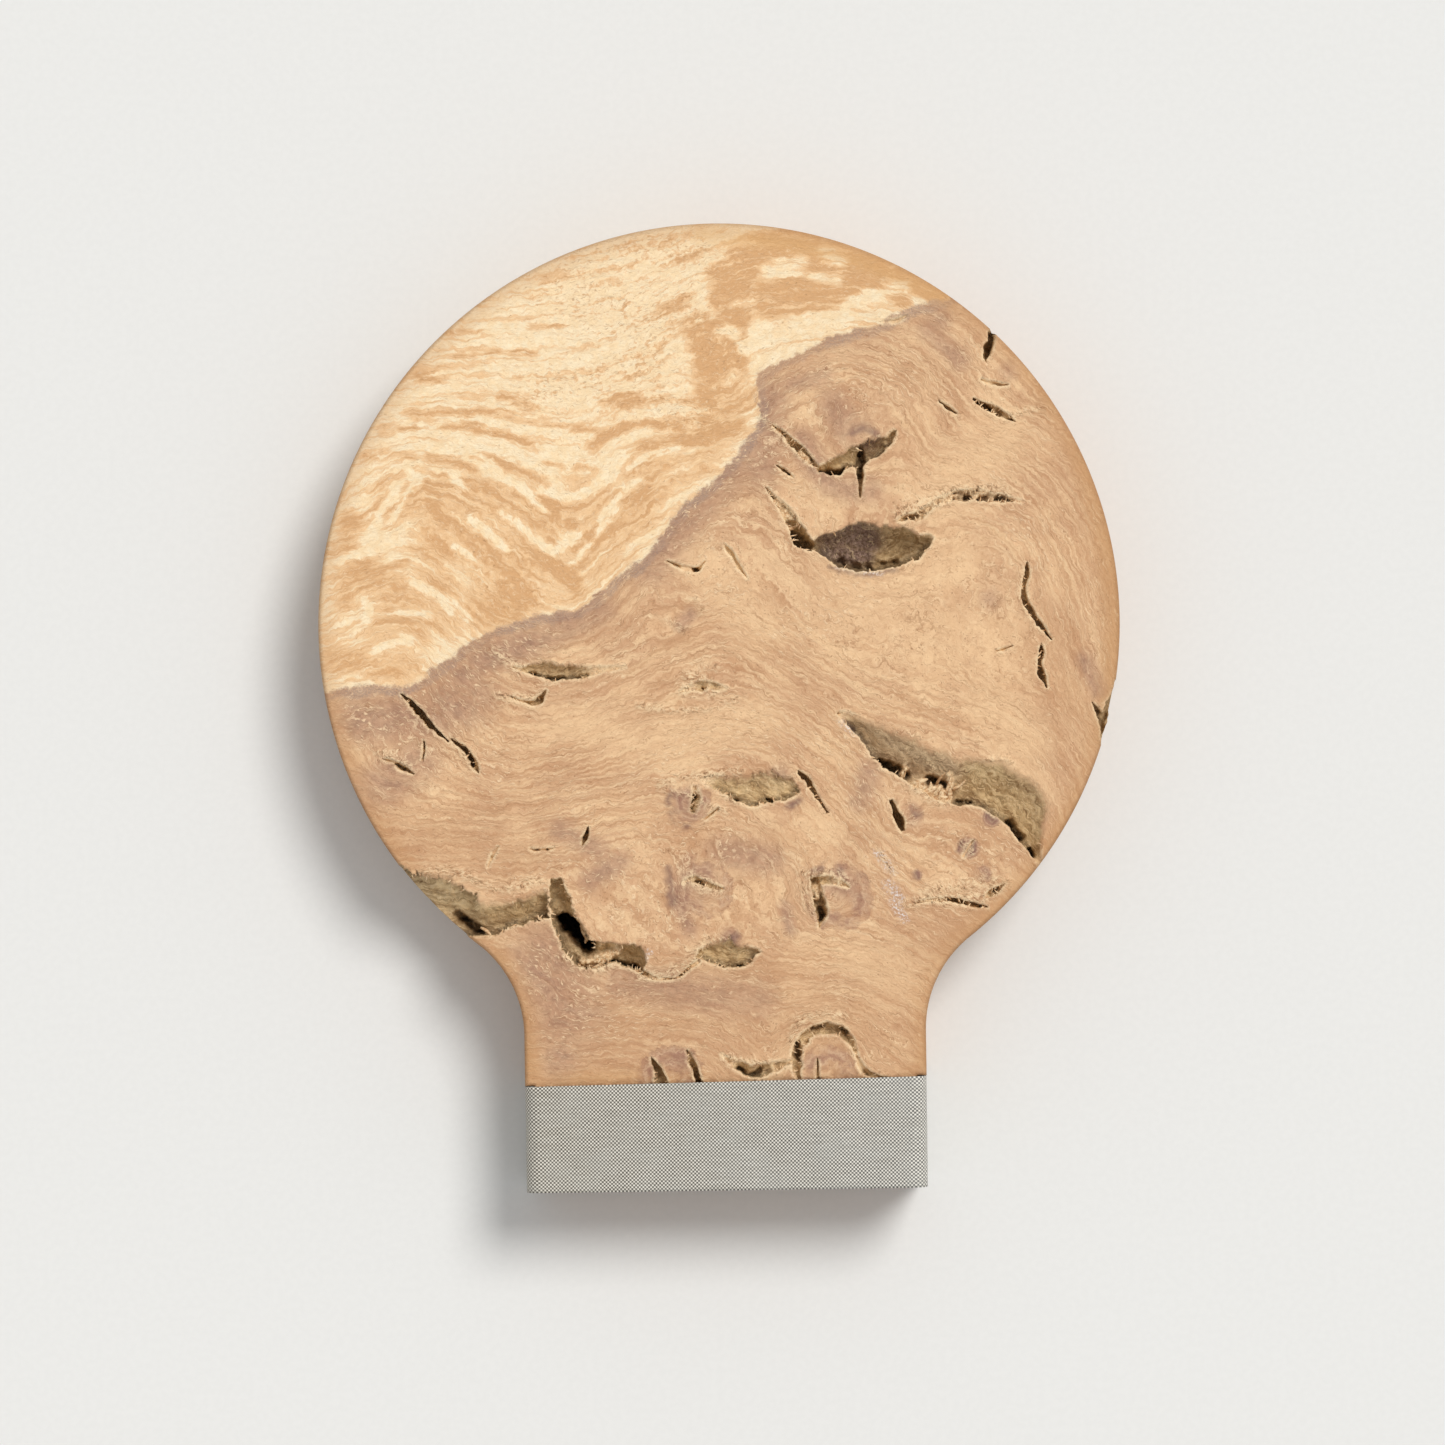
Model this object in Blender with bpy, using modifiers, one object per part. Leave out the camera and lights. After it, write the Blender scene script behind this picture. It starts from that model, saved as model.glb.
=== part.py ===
"""A flat burl slab in the outline of a globe bulb, with a woven cloth band round its foot.

The slab lies on its back: +Z is the open, cracked face and +Y points from the foot to the top of the globe.
The world's origin is under the middle of the whole part. The numbers below are measured from the middle of
the foot's end on the back face, where the empty that carries every piece stands. Run it with
blender --background --python part.py.
"""

import math

import bmesh
import bpy
from mathutils import Vector

MM = 0.001
MERGE = 1e-6

# Outline of the slab, in mm
GLOBE_RADIUS = 40.1
GLOBE_CENTRE_Y = 56.6
FOOT_HALF_WIDTH = 20.1
NECK_RADIUS = 11.7
THICKNESS = 12.0
RIM_ROUND = 0.4
ARC_STEP = math.radians(4.0)

# Band and the foot inside it, in mm
BAND_THICKNESS = 0.6
BAND_PROUD = 0.6
BAND_TOP_LEFT = 10.6
BAND_TOP_RIGHT = 11.1
BAND_CORNER = 1.5
CORNER_STEPS = 6
GAP = 0.3
FOOT_SUNK = 8.0

# Shape of a crack's cross-section, as shares of its slope and depth
MID_SLOPE = 0.5
MID_DEPTH = 0.6
CUTTER_RISE = 1.0
DOWN = Vector((0.0, 0.0, -1.0))
NORTH = Vector((0.0, 1.0, 0.0))

# Each crack has a depth in mm and stations along its deepest line: x, y, and how far the opening reaches to
# the left and to the right of the run. The left side is a slope and the right side is steep.
CRACKS = {
    "rim_slit": (3.0, [(27.6, 85.5, 0.3, 0.3), (27.7, 84.6, 0.4, 0.4), (27.3, 83.7, 0.5, 0.5),
                       (27.0, 82.7, 0.2, 0.2)]),
    "rim_line": (0.8, [(26.5, 80.7, 0.1, 0.1), (27.5, 80.2, 0.3, 0.2), (29.3, 80.1, 0.1, 0.1)]),
    "rim_crack": (2.5, [(25.7, 78.8, 0.1, 0.1), (26.6, 78.2, 0.3, 0.3), (27.7, 77.6, 0.4, 0.4),
                        (28.8, 77.0, 0.5, 0.3), (29.8, 76.5, 0.1, 0.1)]),
    "top_nick": (1.2, [(22.4, 78.5, 0.1, 0.1), (23.2, 77.9, 0.2, 0.2), (24.1, 77.3, 0.1, 0.1)]),
    "brow": (0.6, [(16.6, 86.6, 0.1, 0.1), (18.2, 86.5, 0.4, 0.2), (19.3, 87.2, 0.1, 0.1)]),
    "bird_left_wing": (3.0, [(10.0, 71.9, 0.3, 0.2), (11.1, 71.8, 1.1, 0.5), (12.1, 71.8, 1.4, 0.5),
                             (13.1, 72.2, 1.4, 0.2), (14.3, 72.3, 2.2, 0.3)]),
    "bird_right_wing": (3.0, [(14.1, 71.7, 0.3, 0.2), (15.2, 73.0, 2.0, 0.2), (16.4, 73.5, 1.8, 0.3),
                              (17.1, 74.2, 1.2, 0.3), (17.9, 75.7, 0.2, 0.2)]),
    "bird_tail": (2.0, [(14.3, 72.6, 0.3, 0.3), (14.4, 71.0, 0.3, 0.3), (14.3, 69.0, 0.1, 0.1)]),
    "left_brow": (2.0, [(5.8, 76.3, 0.1, 0.1), (6.9, 75.4, 0.3, 0.3), (8.3, 74.0, 0.4, 0.4),
                        (9.2, 73.0, 0.4, 0.4), (10.1, 72.1, 0.2, 0.2)]),
    "left_brow_nick": (1.0, [(6.0, 72.4, 0.1, 0.1), (6.8, 71.8, 0.2, 0.2), (7.6, 71.2, 0.1, 0.1)]),
    "eye_corner": (2.5, [(4.9, 70.2, 0.1, 0.1), (5.9, 68.9, 0.3, 0.3), (7.0, 67.6, 0.5, 0.5),
                         (7.6, 66.3, 0.7, 0.6), (8.2, 64.9, 1.0, 0.8), (9.4, 64.0, 0.6, 0.3)]),
    "big_eye": (4.5, [(9.4, 64.1, 0.6, 0.2), (10.4, 63.9, 2.2, 0.4), (11.7, 63.2, 3.4, 0.9),
                      (13.7, 62.8, 3.8, 1.1), (15.7, 62.8, 3.6, 1.1), (17.7, 63.1, 3.2, 1.1),
                      (19.4, 63.7, 2.6, 1.1), (20.7, 64.3, 1.4, 0.6), (21.4, 65.1, 0.3, 0.3)]),
    "right_brow": (2.0, [(18.0, 66.7, 0.1, 0.1), (19.5, 67.0, 0.5, 0.3), (20.5, 67.2, 0.5, 0.4),
                         (21.5, 68.2, 0.2, 0.2), (22.6, 68.9, 0.4, 0.4), (24.1, 68.9, 0.8, 0.4),
                         (26.1, 68.9, 0.8, 0.4), (27.8, 68.7, 0.6, 0.3), (30.6, 68.4, 0.1, 0.1)]),
    "upper_tear": (2.0, [(30.9, 62.3, 0.1, 0.1), (30.9, 61.2, 0.3, 0.3), (30.6, 60.1, 0.2, 0.2),
                         (30.5, 58.7, 0.3, 0.3), (31.3, 57.3, 0.3, 0.3), (32.2, 56.0, 0.3, 0.3),
                         (33.2, 54.6, 0.1, 0.1)]),
    "lower_tear": (2.5, [(32.2, 54.1, 0.1, 0.1), (32.3, 53.2, 0.3, 0.3), (31.9, 52.3, 0.2, 0.2),
                         (32.1, 51.2, 0.4, 0.4), (32.7, 49.7, 0.1, 0.1)]),
    "right_dash": (0.6, [(27.8, 53.5, 0.1, 0.1), (28.5, 53.7, 0.1, 0.1), (29.3, 54.0, 0.1, 0.1)]),
    "rim_notch": (4.0, [(39.8, 50.4, 0.2, 0.2), (39.2, 48.6, 0.4, 0.4), (38.6, 47.2, 0.5, 0.4),
                        (38.1, 46.0, 0.5, 0.3), (38.3, 44.3, 0.2, 0.2)]),
    "notch_branch": (2.0, [(37.3, 48.1, 0.1, 0.1), (37.8, 47.2, 0.3, 0.3), (38.3, 46.2, 0.3, 0.3)]),
    "gorge": (5.0, [(11.7, 47.5, 0.2, 0.1), (13.1, 46.0, 0.6, 0.2), (14.7, 44.4, 1.4, 0.3),
                    (16.1, 42.6, 2.8, 0.4), (18.4, 41.1, 3.2, 0.4), (20.8, 39.5, 4.0, 0.5),
                    (22.8, 38.5, 4.6, 0.4), (25.3, 38.4, 4.6, 0.3), (27.4, 37.4, 4.8, 0.3),
                    (29.0, 36.1, 5.0, 0.4), (30.2, 34.3, 2.2, 0.3), (31.8, 32.0, 0.2, 0.1)]),
    "mouth": (2.5, [(-1.9, 41.1, 0.3, 0.2), (-0.5, 40.4, 1.2, 0.4), (1.0, 39.6, 2.0, 0.4),
                    (2.8, 38.8, 2.8, 0.6), (4.6, 39.1, 2.8, 0.4), (6.2, 39.3, 2.8, 0.6),
                    (7.6, 40.2, 1.2, 0.6)]),
    "mouth_left_slit": (2.5, [(-2.7, 40.5, 0.2, 0.2), (-2.8, 39.3, 0.7, 0.2), (-3.0, 37.8, 0.4, 0.2)]),
    "mouth_right_slit": (2.0, [(7.7, 41.7, 0.2, 0.2), (8.5, 40.9, 0.4, 0.3), (9.1, 39.9, 0.3, 0.3),
                               (9.7, 38.9, 0.2, 0.2), (10.5, 37.7, 0.1, 0.1)]),
    "mouth_nick": (0.8, [(-1.7, 37.1, 0.1, 0.1), (-1.0, 37.6, 0.2, 0.2), (-0.3, 38.2, 0.1, 0.1)]),
    "knot_slit": (3.0, [(16.9, 38.8, 0.2, 0.2), (17.3, 37.7, 0.3, 0.3), (17.8, 36.7, 0.5, 0.5),
                        (18.1, 35.6, 0.2, 0.2)]),
    "knot_star": (1.0, [(24.0, 32.9, 0.1, 0.1), (24.5, 33.7, 0.2, 0.2), (25.1, 34.6, 0.1, 0.1)]),
    "hook_stem": (3.5, [(9.1, 31.1, 0.5, 0.4), (9.3, 29.7, 0.6, 0.5), (9.6, 28.5, 0.7, 0.6),
                        (9.8, 27.4, 0.6, 0.5), (9.6, 26.2, 0.1, 0.1)]),
    "hook_arm": (2.0, [(9.5, 30.8, 0.4, 0.4), (10.6, 30.8, 0.5, 0.3), (11.7, 30.5, 0.4, 0.2),
                       (12.6, 30.1, 0.1, 0.1)]),
    "button": (1.5, [(-4.0, 30.8, 0.1, 0.1), (-3.1, 31.2, 0.4, 0.3), (-2.2, 30.9, 0.3, 0.3),
                     (-1.0, 30.3, 0.3, 0.3), (0.1, 30.1, 0.1, 0.1)]),
    "cheek_crack": (1.0, [(19.3, 28.4, 0.1, 0.1), (20.7, 28.7, 0.2, 0.2), (22.2, 28.7, 0.2, 0.2),
                          (23.5, 28.5, 0.4, 0.2), (24.9, 28.1, 0.3, 0.2), (26.5, 27.9, 0.1, 0.1)]),
    "cheek_nick": (1.0, [(26.1, 28.8, 0.1, 0.1), (27.0, 29.3, 0.5, 0.3), (28.1, 30.1, 0.1, 0.1)]),
    "left_slash": (3.0, [(-31.9, 50.1, 0.1, 0.1), (-31.0, 49.2, 0.3, 0.3), (-29.9, 48.1, 0.4, 0.4),
                         (-28.8, 46.6, 0.3, 0.3), (-27.2, 45.2, 0.1, 0.1)]),
    "left_slash_end": (2.5, [(-27.0, 45.5, 0.1, 0.1), (-25.9, 44.7, 0.3, 0.2), (-25.1, 43.6, 0.4, 0.4),
                             (-24.6, 42.8, 0.4, 0.4), (-24.3, 42.1, 0.1, 0.1)]),
    "left_dimple": (1.2, [(-33.7, 43.6, 0.1, 0.1), (-32.7, 43.2, 0.3, 0.2), (-31.7, 42.6, 0.3, 0.3),
                          (-30.8, 42.1, 0.1, 0.1)]),
    "left_prick": (1.0, [(-29.7, 45.4, 0.1, 0.1), (-29.7, 44.5, 0.2, 0.2), (-29.8, 43.7, 0.1, 0.1)]),
    "smile": (2.5, [(-20.6, 52.6, 0.1, 0.1), (-19.4, 52.2, 0.4, 0.2), (-18.0, 51.9, 1.2, 0.4),
                    (-16.3, 51.6, 1.3, 0.4), (-14.7, 51.5, 1.2, 0.3), (-13.2, 51.8, 0.8, 0.3),
                    (-11.7, 52.1, 0.4, 0.2), (-9.4, 52.5, 0.1, 0.1)]),
    "under_smile": (1.5, [(-21.0, 49.7, 0.1, 0.1), (-19.8, 49.1, 0.2, 0.2), (-18.7, 48.9, 0.3, 0.2),
                          (-17.9, 49.3, 0.4, 0.4), (-17.4, 50.3, 0.1, 0.1)]),
    "centre_wave": (1.2, [(-5.1, 63.0, 0.1, 0.1), (-3.9, 62.4, 0.2, 0.2), (-2.9, 62.0, 0.4, 0.3),
                          (-2.0, 62.1, 0.2, 0.2), (-1.3, 62.9, 0.1, 0.1)]),
    "centre_slit": (1.2, [(0.6, 64.6, 0.1, 0.1), (1.3, 63.7, 0.3, 0.3), (1.9, 62.6, 0.2, 0.2),
                          (2.9, 61.1, 0.1, 0.1)]),
    "centre_hollow": (1.5, [(-4.0, 49.9, 0.1, 0.1), (-3.0, 50.1, 0.5, 0.3), (-2.0, 50.4, 0.6, 0.5),
                            (-0.8, 50.4, 0.5, 0.3), (0.7, 50.1, 0.1, 0.1)]),
    "cheek_prick": (1.5, [(-13.4, 36.5, 0.1, 0.1), (-13.7, 35.6, 0.4, 0.3), (-14.0, 34.7, 0.1, 0.1)]),
    "left_comma": (0.8, [(-22.4, 34.7, 0.1, 0.1), (-23.0, 33.9, 0.2, 0.2), (-23.5, 32.6, 0.1, 0.1)]),
    "left_dots": (0.6, [(-19.3, 34.4, 0.1, 0.1), (-18.4, 34.2, 0.2, 0.2), (-16.9, 34.4, 0.1, 0.1)]),
    "cave_left": (5.5, [(-33.1, 33.3, 0.2, 1.4), (-31.3, 31.1, 1.0, 2.0), (-29.3, 29.1, 2.6, 2.0),
                        (-27.7, 28.0, 3.6, 1.0), (-26.0, 26.4, 4.2, 0.7), (-23.6, 26.3, 3.0, 0.6),
                        (-21.8, 27.0, 2.4, 0.6), (-20.0, 27.6, 2.0, 0.5), (-17.6, 28.1, 2.4, 0.7)]),
    "cave_shaft": (8.0, [(-16.7, 31.3, 0.6, 0.6), (-16.3, 29.2, 1.0, 1.2), (-15.8, 27.2, 1.0, 1.4),
                         (-15.0, 25.4, 1.4, 1.4), (-14.4, 23.7, 1.6, 1.4), (-13.6, 22.6, 0.8, 0.4)]),
    "cave_gallery": (6.0, [(-14.4, 23.4, 2.2, 0.8), (-12.6, 23.0, 1.8, 0.8), (-10.9, 23.4, 1.6, 0.3),
                           (-9.4, 22.7, 2.4, 0.5), (-8.2, 22.1, 1.0, 0.4)]),
    "cave_thread": (1.2, [(-8.2, 21.9, 0.3, 0.3), (-7.2, 21.3, 0.2, 0.2), (-6.0, 21.1, 0.2, 0.1),
                          (-4.6, 21.2, 0.1, 0.1), (-3.8, 22.1, 0.2, 0.2), (-2.4, 23.0, 0.2, 0.2)]),
    "low_scoop": (3.0, [(-2.7, 23.5, 0.6, 0.3), (-1.4, 23.2, 2.0, 0.4), (-0.2, 22.6, 2.8, 0.5),
                        (1.4, 22.6, 2.6, 0.4), (2.6, 23.2, 1.6, 0.4), (3.6, 23.9, 0.2, 0.2)]),
    "foot_slit_left": (2.5, [(-7.4, 13.3, 0.1, 0.1), (-6.9, 12.3, 0.4, 0.4), (-6.5, 11.1, 0.6, 0.6),
                             (-6.3, 10.1, 0.6, 0.6)]),
    "foot_slit_right": (2.5, [(-3.9, 14.1, 0.1, 0.1), (-3.4, 12.9, 0.4, 0.3), (-2.9, 11.6, 0.4, 0.4),
                              (-2.7, 10.0, 0.5, 0.5)]),
    "foot_fan": (2.0, [(-0.4, 13.6, 0.1, 0.1), (0.8, 12.6, 0.4, 0.3), (2.0, 11.6, 1.0, 0.3),
                       (3.0, 11.2, 1.4, 0.3), (4.2, 11.8, 1.0, 0.3), (5.6, 12.4, 0.4, 0.3),
                       (7.0, 12.9, 0.1, 0.1)]),
    "arch": (2.5, [(7.3, 10.9, 0.3, 0.3), (7.0, 12.7, 0.5, 0.5), (7.3, 14.3, 0.5, 0.5), (8.1, 15.4, 0.6, 0.5),
                   (9.4, 16.0, 0.7, 0.5), (10.8, 15.9, 0.7, 0.5), (12.0, 15.3, 0.6, 0.4),
                   (12.8, 14.2, 0.3, 0.2), (13.2, 13.0, 0.1, 0.1)]),
    "arch_foot": (1.5, [(13.1, 13.2, 0.1, 0.1), (13.6, 11.8, 0.4, 0.4), (14.6, 11.0, 0.4, 0.3),
                        (16.4, 10.8, 0.1, 0.1)]),
    "tongue_slit": (2.0, [(9.2, 12.9, 0.1, 0.1), (9.2, 11.7, 0.2, 0.2), (9.3, 9.9, 0.3, 0.3)]),
}
# These wide hollows turn too sharply for a slope square to the run, so theirs faces due north.
SLOPES_NORTH = ("cave_left",)


def clear_scene():
    for obj in list(bpy.data.objects):
        bpy.data.objects.remove(obj)


def new_collection(name):
    collection = bpy.data.collections.new(name)
    bpy.context.scene.collection.children.link(collection)
    return collection


def make_base(collection):
    """The empty in the middle of the foot's end, half the part's length from the world's origin."""
    base = bpy.data.objects.new("foot_end", None)
    base.location.y = -(GLOBE_CENTRE_Y + GLOBE_RADIUS) / 2.0 * MM
    collection.objects.link(base)
    return base


def new_object(name, mesh, collection, base=None):
    obj = bpy.data.objects.new(name, mesh)
    obj.parent = base
    collection.objects.link(obj)
    return obj


def principled(name, colour, roughness):
    material = bpy.data.materials.new(name)
    material.use_nodes = True
    shader = material.node_tree.nodes["Principled BSDF"]
    shader.inputs["Base Color"].default_value = (*colour, 1.0)
    shader.inputs["Roughness"].default_value = roughness
    shader.inputs["Metallic"].default_value = 0.0
    return material


def arc(centre, radius, start, end):
    """Points on an arc from one angle to another, in radians, both ends included."""
    steps = max(2, math.ceil(abs(end - start) / ARC_STEP))
    turns = [start + (end - start) * i / steps for i in range(steps + 1)]
    return [(centre[0] + radius * math.cos(t), centre[1] + radius * math.sin(t)) for t in turns]


def band_top(x):
    """Height of the band's top edge at x, which slopes a little."""
    share = (x + FOOT_HALF_WIDTH) / (2.0 * FOOT_HALF_WIDTH)
    return BAND_TOP_LEFT + (BAND_TOP_RIGHT - BAND_TOP_LEFT) * share


def slab_outline():
    """The globe, its two hollow neck curves and the shoulder above the band, counterclockwise in mm."""
    neck_x = FOOT_HALF_WIDTH + NECK_RADIUS
    reach = GLOBE_RADIUS + NECK_RADIUS
    neck_y = GLOBE_CENTRE_Y - math.sqrt(reach**2 - neck_x**2)
    meeting = math.atan2(neck_y - GLOBE_CENTRE_Y, neck_x)
    shoulder = [(side * FOOT_HALF_WIDTH, band_top(side * FOOT_HALF_WIDTH) + GAP) for side in (-1, 1)]
    right_neck = arc((neck_x, neck_y), NECK_RADIUS, math.pi, math.pi + meeting)
    globe = arc((0.0, GLOBE_CENTRE_Y), GLOBE_RADIUS, meeting, math.pi - meeting)
    left_neck = [(-x, y) for x, y in reversed(right_neck)]
    return shoulder + right_neck + globe[1:-1] + left_neck


def rounded_box(half_width, low, high, corner):
    """A rounded rectangle in x and z, counterclockwise in mm."""
    points = []
    for quarter, (x, z) in enumerate(
        [
            (half_width - corner, high - corner),
            (corner - half_width, high - corner),
            (corner - half_width, low + corner),
            (half_width - corner, low + corner),
        ]
    ):
        for step in range(CORNER_STEPS + 1):
            turn = (quarter + step / CORNER_STEPS) * math.pi / 2.0
            points.append((x + corner * math.cos(turn), z + corner * math.sin(turn)))
    return points


def plate_from_outline(name, points, low, high, rounding, collection, base):
    """A flat plate with rounded rims, made as a filled 2D curve and then turned into a closed mesh."""
    curve = bpy.data.curves.new(name, "CURVE")
    curve.dimensions = "2D"
    curve.fill_mode = "BOTH"
    curve.bevel_depth = rounding * MM
    curve.bevel_resolution = 1
    curve.offset = -rounding * MM
    curve.extrude = ((high - low) / 2.0 - rounding) * MM
    spline = curve.splines.new("POLY")
    spline.points.add(len(points) - 1)
    for point, (x, y) in zip(spline.points, points):
        point.co = (x * MM, y * MM, 0.0, 1.0)
    spline.use_cyclic_u = True
    flat = new_object(name + "_curve", curve, collection)
    flat.location.z = (high + low) / 2.0 * MM
    bpy.context.view_layer.update()
    mesh = bpy.data.meshes.new_from_object(flat.evaluated_get(bpy.context.evaluated_depsgraph_get()))
    mesh.transform(flat.matrix_world)
    bpy.data.objects.remove(flat)
    made = bmesh.new()
    made.from_mesh(mesh)
    bmesh.ops.remove_doubles(made, verts=made.verts, dist=MERGE)
    bmesh.ops.recalc_face_normals(made, faces=made.faces)
    made.to_mesh(mesh)
    made.free()
    mesh.name = name
    return new_object(name, mesh, collection, base)


def loft(name, rings, collection, base):
    """A closed solid through rings of equally many points, with its ends filled."""
    made = bmesh.new()
    loops = [[made.verts.new(point * MM) for point in ring] for ring in rings]
    size = len(rings[0])
    for near, far in zip(loops, loops[1:]):
        for i in range(size):
            made.faces.new((near[i], near[(i + 1) % size], far[(i + 1) % size], far[i]))
    made.faces.new(loops[0])
    made.faces.new(loops[-1])
    bmesh.ops.triangulate(made, faces=made.faces)
    bmesh.ops.recalc_face_normals(made, faces=made.faces)
    mesh = bpy.data.meshes.new(name)
    made.to_mesh(mesh)
    made.free()
    return new_object(name, mesh, collection, base)


def crack_section(floor, side, soft, steep, depth):
    """One cross-section of a crack's cutter, from above the steep rim round to above the soft rim."""
    surface = THICKNESS
    steep_rim = floor - side * steep
    soft_rim = floor + side * soft
    middle = floor + side * soft * MID_SLOPE
    heights = (surface + CUTTER_RISE, surface, surface - depth, surface - depth * MID_DEPTH, surface)
    places = (steep_rim, steep_rim, floor, middle, soft_rim)
    ring = [place.xy.to_3d() + Vector((0.0, 0.0, z)) for place, z in zip(places, heights)]
    return ring + [soft_rim.xy.to_3d() + Vector((0.0, 0.0, surface + CUTTER_RISE))]


def crack_cutter(name, depth, stations, collection, base):
    line = [Vector((x, y, 0.0)) for x, y, _, _ in stations]
    widest = max(soft + steep for _, _, soft, steep in stations)
    rings = []
    for i, (floor, (_, _, soft, steep)) in enumerate(zip(line, stations)):
        run = (line[min(i + 1, len(line) - 1)] - line[max(i - 1, 0)]).normalized()
        side = NORTH if name in SLOPES_NORTH else run.cross(DOWN)
        local_depth = depth * math.sqrt((soft + steep) / widest)
        rings.append(crack_section(floor, side, soft, steep, local_depth))
    return loft("crack_" + name, rings, collection, base)


def add_boolean(obj, name, operation, operand=None, collection=None):
    modifier = obj.modifiers.new(name, "BOOLEAN")
    modifier.solver = "EXACT"
    modifier.operation = operation
    if collection is None:
        modifier.object = operand
    else:
        modifier.operand_type = "COLLECTION"
        modifier.collection = collection
    return modifier


def make_foot(collection, base):
    """The foot that the band goes round, set in by the band and its gap and sunk into the slab above."""
    inset = BAND_THICKNESS + GAP
    low = inset
    high = THICKNESS + BAND_PROUD - inset
    corner = BAND_CORNER - inset
    section = rounded_box(FOOT_HALF_WIDTH - inset, low, high, corner)
    ends = (0.0, BAND_TOP_RIGHT + FOOT_SUNK)
    return loft("foot", [[Vector((x, y, z)) for x, z in section] for y in ends], collection, base)


def make_slab(parts, cutters, cracks, base):
    slab = plate_from_outline("burl_slab", slab_outline(), 0.0, THICKNESS, RIM_ROUND, parts, base)
    slab.data.materials.clear()
    slab.data.materials.append(principled("burl_wood", (0.61, 0.36, 0.19), 0.6))
    add_boolean(slab, "foot", "UNION", operand=make_foot(cutters, base))
    for name, (depth, stations) in CRACKS.items():
        crack_cutter(name, depth, stations, cracks, base)
    add_boolean(slab, "cracks", "DIFFERENCE", collection=cracks)
    return slab


def make_band(parts, base):
    """The cloth band: an open sleeve with a sloping top edge, thickened inwards."""
    section = rounded_box(FOOT_HALF_WIDTH, 0.0, THICKNESS + BAND_PROUD, BAND_CORNER)
    made = bmesh.new()
    low = [made.verts.new(Vector((x, 0.0, z)) * MM) for x, z in section]
    high = [made.verts.new(Vector((x, band_top(x), z)) * MM) for x, z in section]
    for i in range(len(section)):
        after = (i + 1) % len(section)
        made.faces.new((low[i], low[after], high[after], high[i]))
    bmesh.ops.remove_doubles(made, verts=made.verts, dist=MERGE)
    bmesh.ops.recalc_face_normals(made, faces=made.faces)
    mesh = bpy.data.meshes.new("cloth_band")
    made.to_mesh(mesh)
    made.free()
    band = new_object("cloth_band", mesh, parts, base)
    band.data.materials.append(principled("woven_cloth", (0.42, 0.41, 0.35), 0.85))
    solid = band.modifiers.new("thickness", "SOLIDIFY")
    solid.thickness = BAND_THICKNESS * MM
    solid.offset = -1.0
    solid.use_even_offset = True
    return band


def hide_cutters(collection):
    collection.hide_render = True
    for obj in collection.objects:
        obj.display_type = "WIRE"
        obj.hide_render = True


def main():
    clear_scene()
    parts = new_collection("tree_burl")
    cutters = new_collection("cutters")
    cracks = new_collection("crack_cutters")
    base = make_base(parts)
    make_slab(parts, cutters, cracks, base)
    make_band(parts, base)
    hide_cutters(cutters)
    hide_cutters(cracks)


main()
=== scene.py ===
"""Looks of the burl slab and its cloth band: meshes, procedural wood and cloth, floor, light and camera."""

import math

import bpy
import numpy as np
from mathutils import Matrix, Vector, geometry, noise


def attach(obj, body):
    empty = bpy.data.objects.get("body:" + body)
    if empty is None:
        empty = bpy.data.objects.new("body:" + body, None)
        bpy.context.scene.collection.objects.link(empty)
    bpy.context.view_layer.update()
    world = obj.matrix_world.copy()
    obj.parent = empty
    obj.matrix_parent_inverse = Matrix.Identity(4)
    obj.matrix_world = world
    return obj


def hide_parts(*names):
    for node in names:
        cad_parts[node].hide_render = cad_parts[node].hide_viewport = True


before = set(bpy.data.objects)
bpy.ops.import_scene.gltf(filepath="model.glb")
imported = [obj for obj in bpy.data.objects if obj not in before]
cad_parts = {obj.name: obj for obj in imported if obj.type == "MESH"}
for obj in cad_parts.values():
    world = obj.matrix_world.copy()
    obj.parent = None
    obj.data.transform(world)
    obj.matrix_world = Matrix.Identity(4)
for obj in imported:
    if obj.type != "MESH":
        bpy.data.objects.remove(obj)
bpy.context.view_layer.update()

MM = 0.001

# The photograph: its scale, and where the middle of the foot's end lies in it
PX_MM = 0.1
FOOT_PX = (727.5, 1190.0)
ROLL = math.radians(-0.86)
PHOTO_SIDE = 1445
PHOTO_MIDDLE_PX = (722.5, 722.5)

# The slab, in mm from the middle of the foot's end on the back face, as in the CAD
GLOBE_RADIUS = 40.1
GLOBE_CENTRE_Y = 56.6
LENGTH = GLOBE_CENTRE_Y + GLOBE_RADIUS
FOOT_HALF_WIDTH = 20.1
NECK_RADIUS = 11.7
THICKNESS = 12.0
RIM_ROUND = 0.4
BAND_THICKNESS = 0.6
BAND_PROUD = 0.6
BAND_TOP_LEFT = 10.6
BAND_TOP_RIGHT = 11.1
BAND_CORNER = 1.5
GAP = 0.3
SHOULDER_GAP = 0.06
FOOT_INSET = BAND_THICKNESS + GAP

# Mesh spacings, in mm: along the outline and the cracks' rims, then between points near and far from the cracks
EDGE_STEP = 0.4
RIM_STEP = 0.13
FINE_STEP = 0.17
MIDDLE_STEP = 0.34
COARSE_STEP = 0.55
BACK_STEP = 1.3
# How far beyond the cracks' rims the fine and the middle spacing reach, in mm
FINE_MARGIN = 0.25
MIDDLE_MARGIN = 1.3
# How far the back's points stay from the outline, in mm
BACK_MARGIN = 0.7
# Rings of points just inside the outline, how far they keep from the cracks' rims, and how near to the outline
# such a rim may run, in mm
RIM_INSETS = (0.05, 0.13, 0.25, RIM_ROUND)
RING_SPACING = 0.1
EDGE_GAP = 0.12
# Rows of faces over the height of the sides
SIDE_RINGS = 16
# Points whose distances to a crack are measured at once, to spare memory
CHUNK = 4000

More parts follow.
